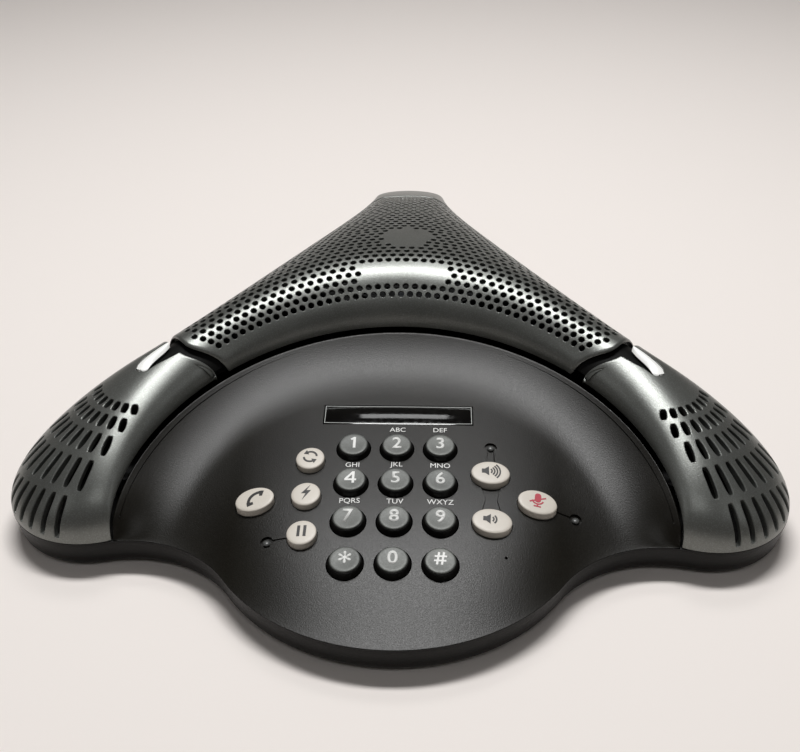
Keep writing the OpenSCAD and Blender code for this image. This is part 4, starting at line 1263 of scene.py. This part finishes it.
def speaker_sign(waves):
    horn = outline([(-2.9, -0.85), (-1.9, -0.85), (-0.5, -1.95),
                    (-0.5, 1.95), (-1.9, 0.85), (-2.9, 0.85)])
    arcs = [stroke(bow(1.1 + 0.9 * i, -48, 48, centre=(-0.6, 0)), 0.26) for i in range(waves)]
    return [horn] + arcs


def arrow_sign():
    parts = []
    for turn in (-10, 170):
        parts.append(stroke(bow(2.15, turn + 15, turn + 125), 0.34))
        t = math.radians(turn + 125)
        tip = np.array([math.cos(t), math.sin(t)])
        way = np.array([-tip[1], tip[0]])
        parts.append(outline([1.1 * tip, 2.15 * tip + 1.5 * way, 3.2 * tip]))
    return parts


def handset_sign():
    centre = (1.7, -1.9)
    parts = [stroke(bow(3.75, 84, 186, 24, centre), 0.5)]
    for start, stop in ((70, 92), (178, 200)):
        parts.append(stroke(bow(3.3, start, stop, 6, centre), 1.05))
    return parts


def mute_sign():
    top = bow(1.05, 0, 180, 12, (0, 1.9))
    bottom = bow(1.05, 180, 360, 12, (0, 0.2))
    capsule = outline(np.concatenate([top, bottom]))
    cradle = stroke(bow(1.8, 195, 345, 16, (0, 0.3)), 0.25)
    foot = [stroke([(0, -1.4), (0, -2.4)], 0.26), stroke([(-1.2, -2.5), (1.2, -2.5)], 0.26)]
    return [capsule, cradle] + foot + [stroke([(-2.6, -1.0), (2.6, 1.6)], 0.25)]


SIGN_BACK = 0.5
SIGN_Z, SIGN_CURVE = 2.275, 0.1
BOLT = [(1.3, 3.1), (-1.5, -0.4), (0.0, -0.4), (-1.0, -3.1), (1.6, 0.8), (0.1, 0.8)]
signs = {
    "redial": arrow_sign(),
    "flash": [outline(BOLT)],
    "hold": [stroke([(x, -2.1), (x, 2.1)], 0.48) for x in (-1.0, 1.0)],
    "hook": handset_sign(),
    "volume_up": speaker_sign(4),
    "volume_down": speaker_sign(2),
    "mute": mute_sign(),
}
for name, parts in signs.items():
    ink = print_red if name == "mute" else print_dark
    sign = drawn("sign_" + name, parts)
    wide, deep = creams[name][3:]
    lay_on(sign, creams[name], SIGN_BACK,
           lambda x, y: SIGN_Z - SIGN_CURVE * np.hypot(x / wide, y / deep) ** 2)
    dress(sign, ink, "key_%s_cap" % name, "key_cream")

# %% [markdown]
# The parts that stay plain solids still get real finishes: rubber feet, the line jack, and
# the works inside, which show through the holes only as dark shapes.

# %% Finishes of the inner parts
inner_metal = finish_of("inner_metal", "#5a5d60", "#6a6d70", 0.8, 0.45, 900, 0.3)
inner_board = finish_of("board_green", "#24502f", "#2c5c38", 0.0, 0.5, 500, 0.3)
inner_dark = finish_of("inner_dark", "#101010", "#191919", 0.0, 0.7, 700, 0.4)
# The last word of a solid's name picks its finish
looks = {"feet": rubber_black, "jack": jack_black_and_key_side_shade, "board": inner_board,
         "screws": inner_metal, "capsule": inner_metal}
for node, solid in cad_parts.items():
    solid.data.materials.clear()
    solid.data.materials.append(looks.get(node.split("_")[-1], inner_dark))
print("solids with finishes:", len(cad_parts))

# %% [markdown]
# The phone stands on a pale table that bends up into a plain backdrop. The main lamp hangs
# above and a little behind, so a dark, narrow shadow lies along the front edge. Weak lamps
# behind, in front and on both sides fill in. All are soft, and the satin surfaces show broad
# bands of light.

# %% Table and light
TABLE_WIDE, TABLE_DEEP, TABLE_FRONT = 8, 5, -1.6
BEND_FROM, BEND_RUN = 0.7, 0.9
deselect()
bpy.ops.mesh.primitive_plane_add(size=1)
table = bpy.context.object
table.name = "table"
edit(table, bpy.ops.mesh.subdivide, number_cuts=60)
spots = read_points(table)
spots[:, 0] *= TABLE_WIDE
spots[:, 1] = (spots[:, 1] + 0.5) * TABLE_DEEP + TABLE_FRONT
bend = np.clip((spots[:, 1] - BEND_FROM) / BEND_RUN, 0, None)
spots[:, 2] = BEND_RUN * bend**2
write_points(table, spots)
smooth(table, 80)
paper = bpy.data.materials.new("pale_table")
paper.use_nodes = True
paper_shader = paper.node_tree.nodes["Principled BSDF"]
paper_shader.inputs["Base Color"].default_value = linear("#f4ede8")
paper_shader.inputs["Roughness"].default_value = 0.75
table.data.materials.append(paper)


def lamp(name, place, target, size, power):
    data = bpy.data.lights.new(name, "AREA")
    data.shape = "RECTANGLE"
    data.size, data.size_y = size
    data.energy = power
    light = add_object(name, data)
    aim = (Vector(target) - Vector(place)).to_track_quat("-Z", "Y")
    light.matrix_world = Matrix.Translation(place) @ aim.to_matrix().to_4x4()


lamp("overhead", (0.0, 0.2, 1.1), (0.0, -0.3, 0.0), (0.6, 0.16), 10.4)
lamp("rear_light", (0.0, 0.62, 1.0), (0.0, -0.02, 0.0), (0.5, 0.2), 1.5)
lamp("front_light", (0.0, -0.65, 0.95), (0.0, -0.02, 0.0), (0.6, 0.26), 0.8)
for side, hand in HANDS:
    lamp(hand + "_fill", (side * 0.9, -0.5, 0.7), (0.0, 0.0, 0.03), (0.5, 0.5), 0.4)
world = bpy.data.worlds.new("room")
bpy.context.scene.world = world
world.use_nodes = True
room = world.node_tree.nodes["Background"].inputs
room["Color"].default_value = linear("#d8d2cc")
room["Strength"].default_value = 0.07
bpy.context.scene.view_settings.view_transform = "Standard"
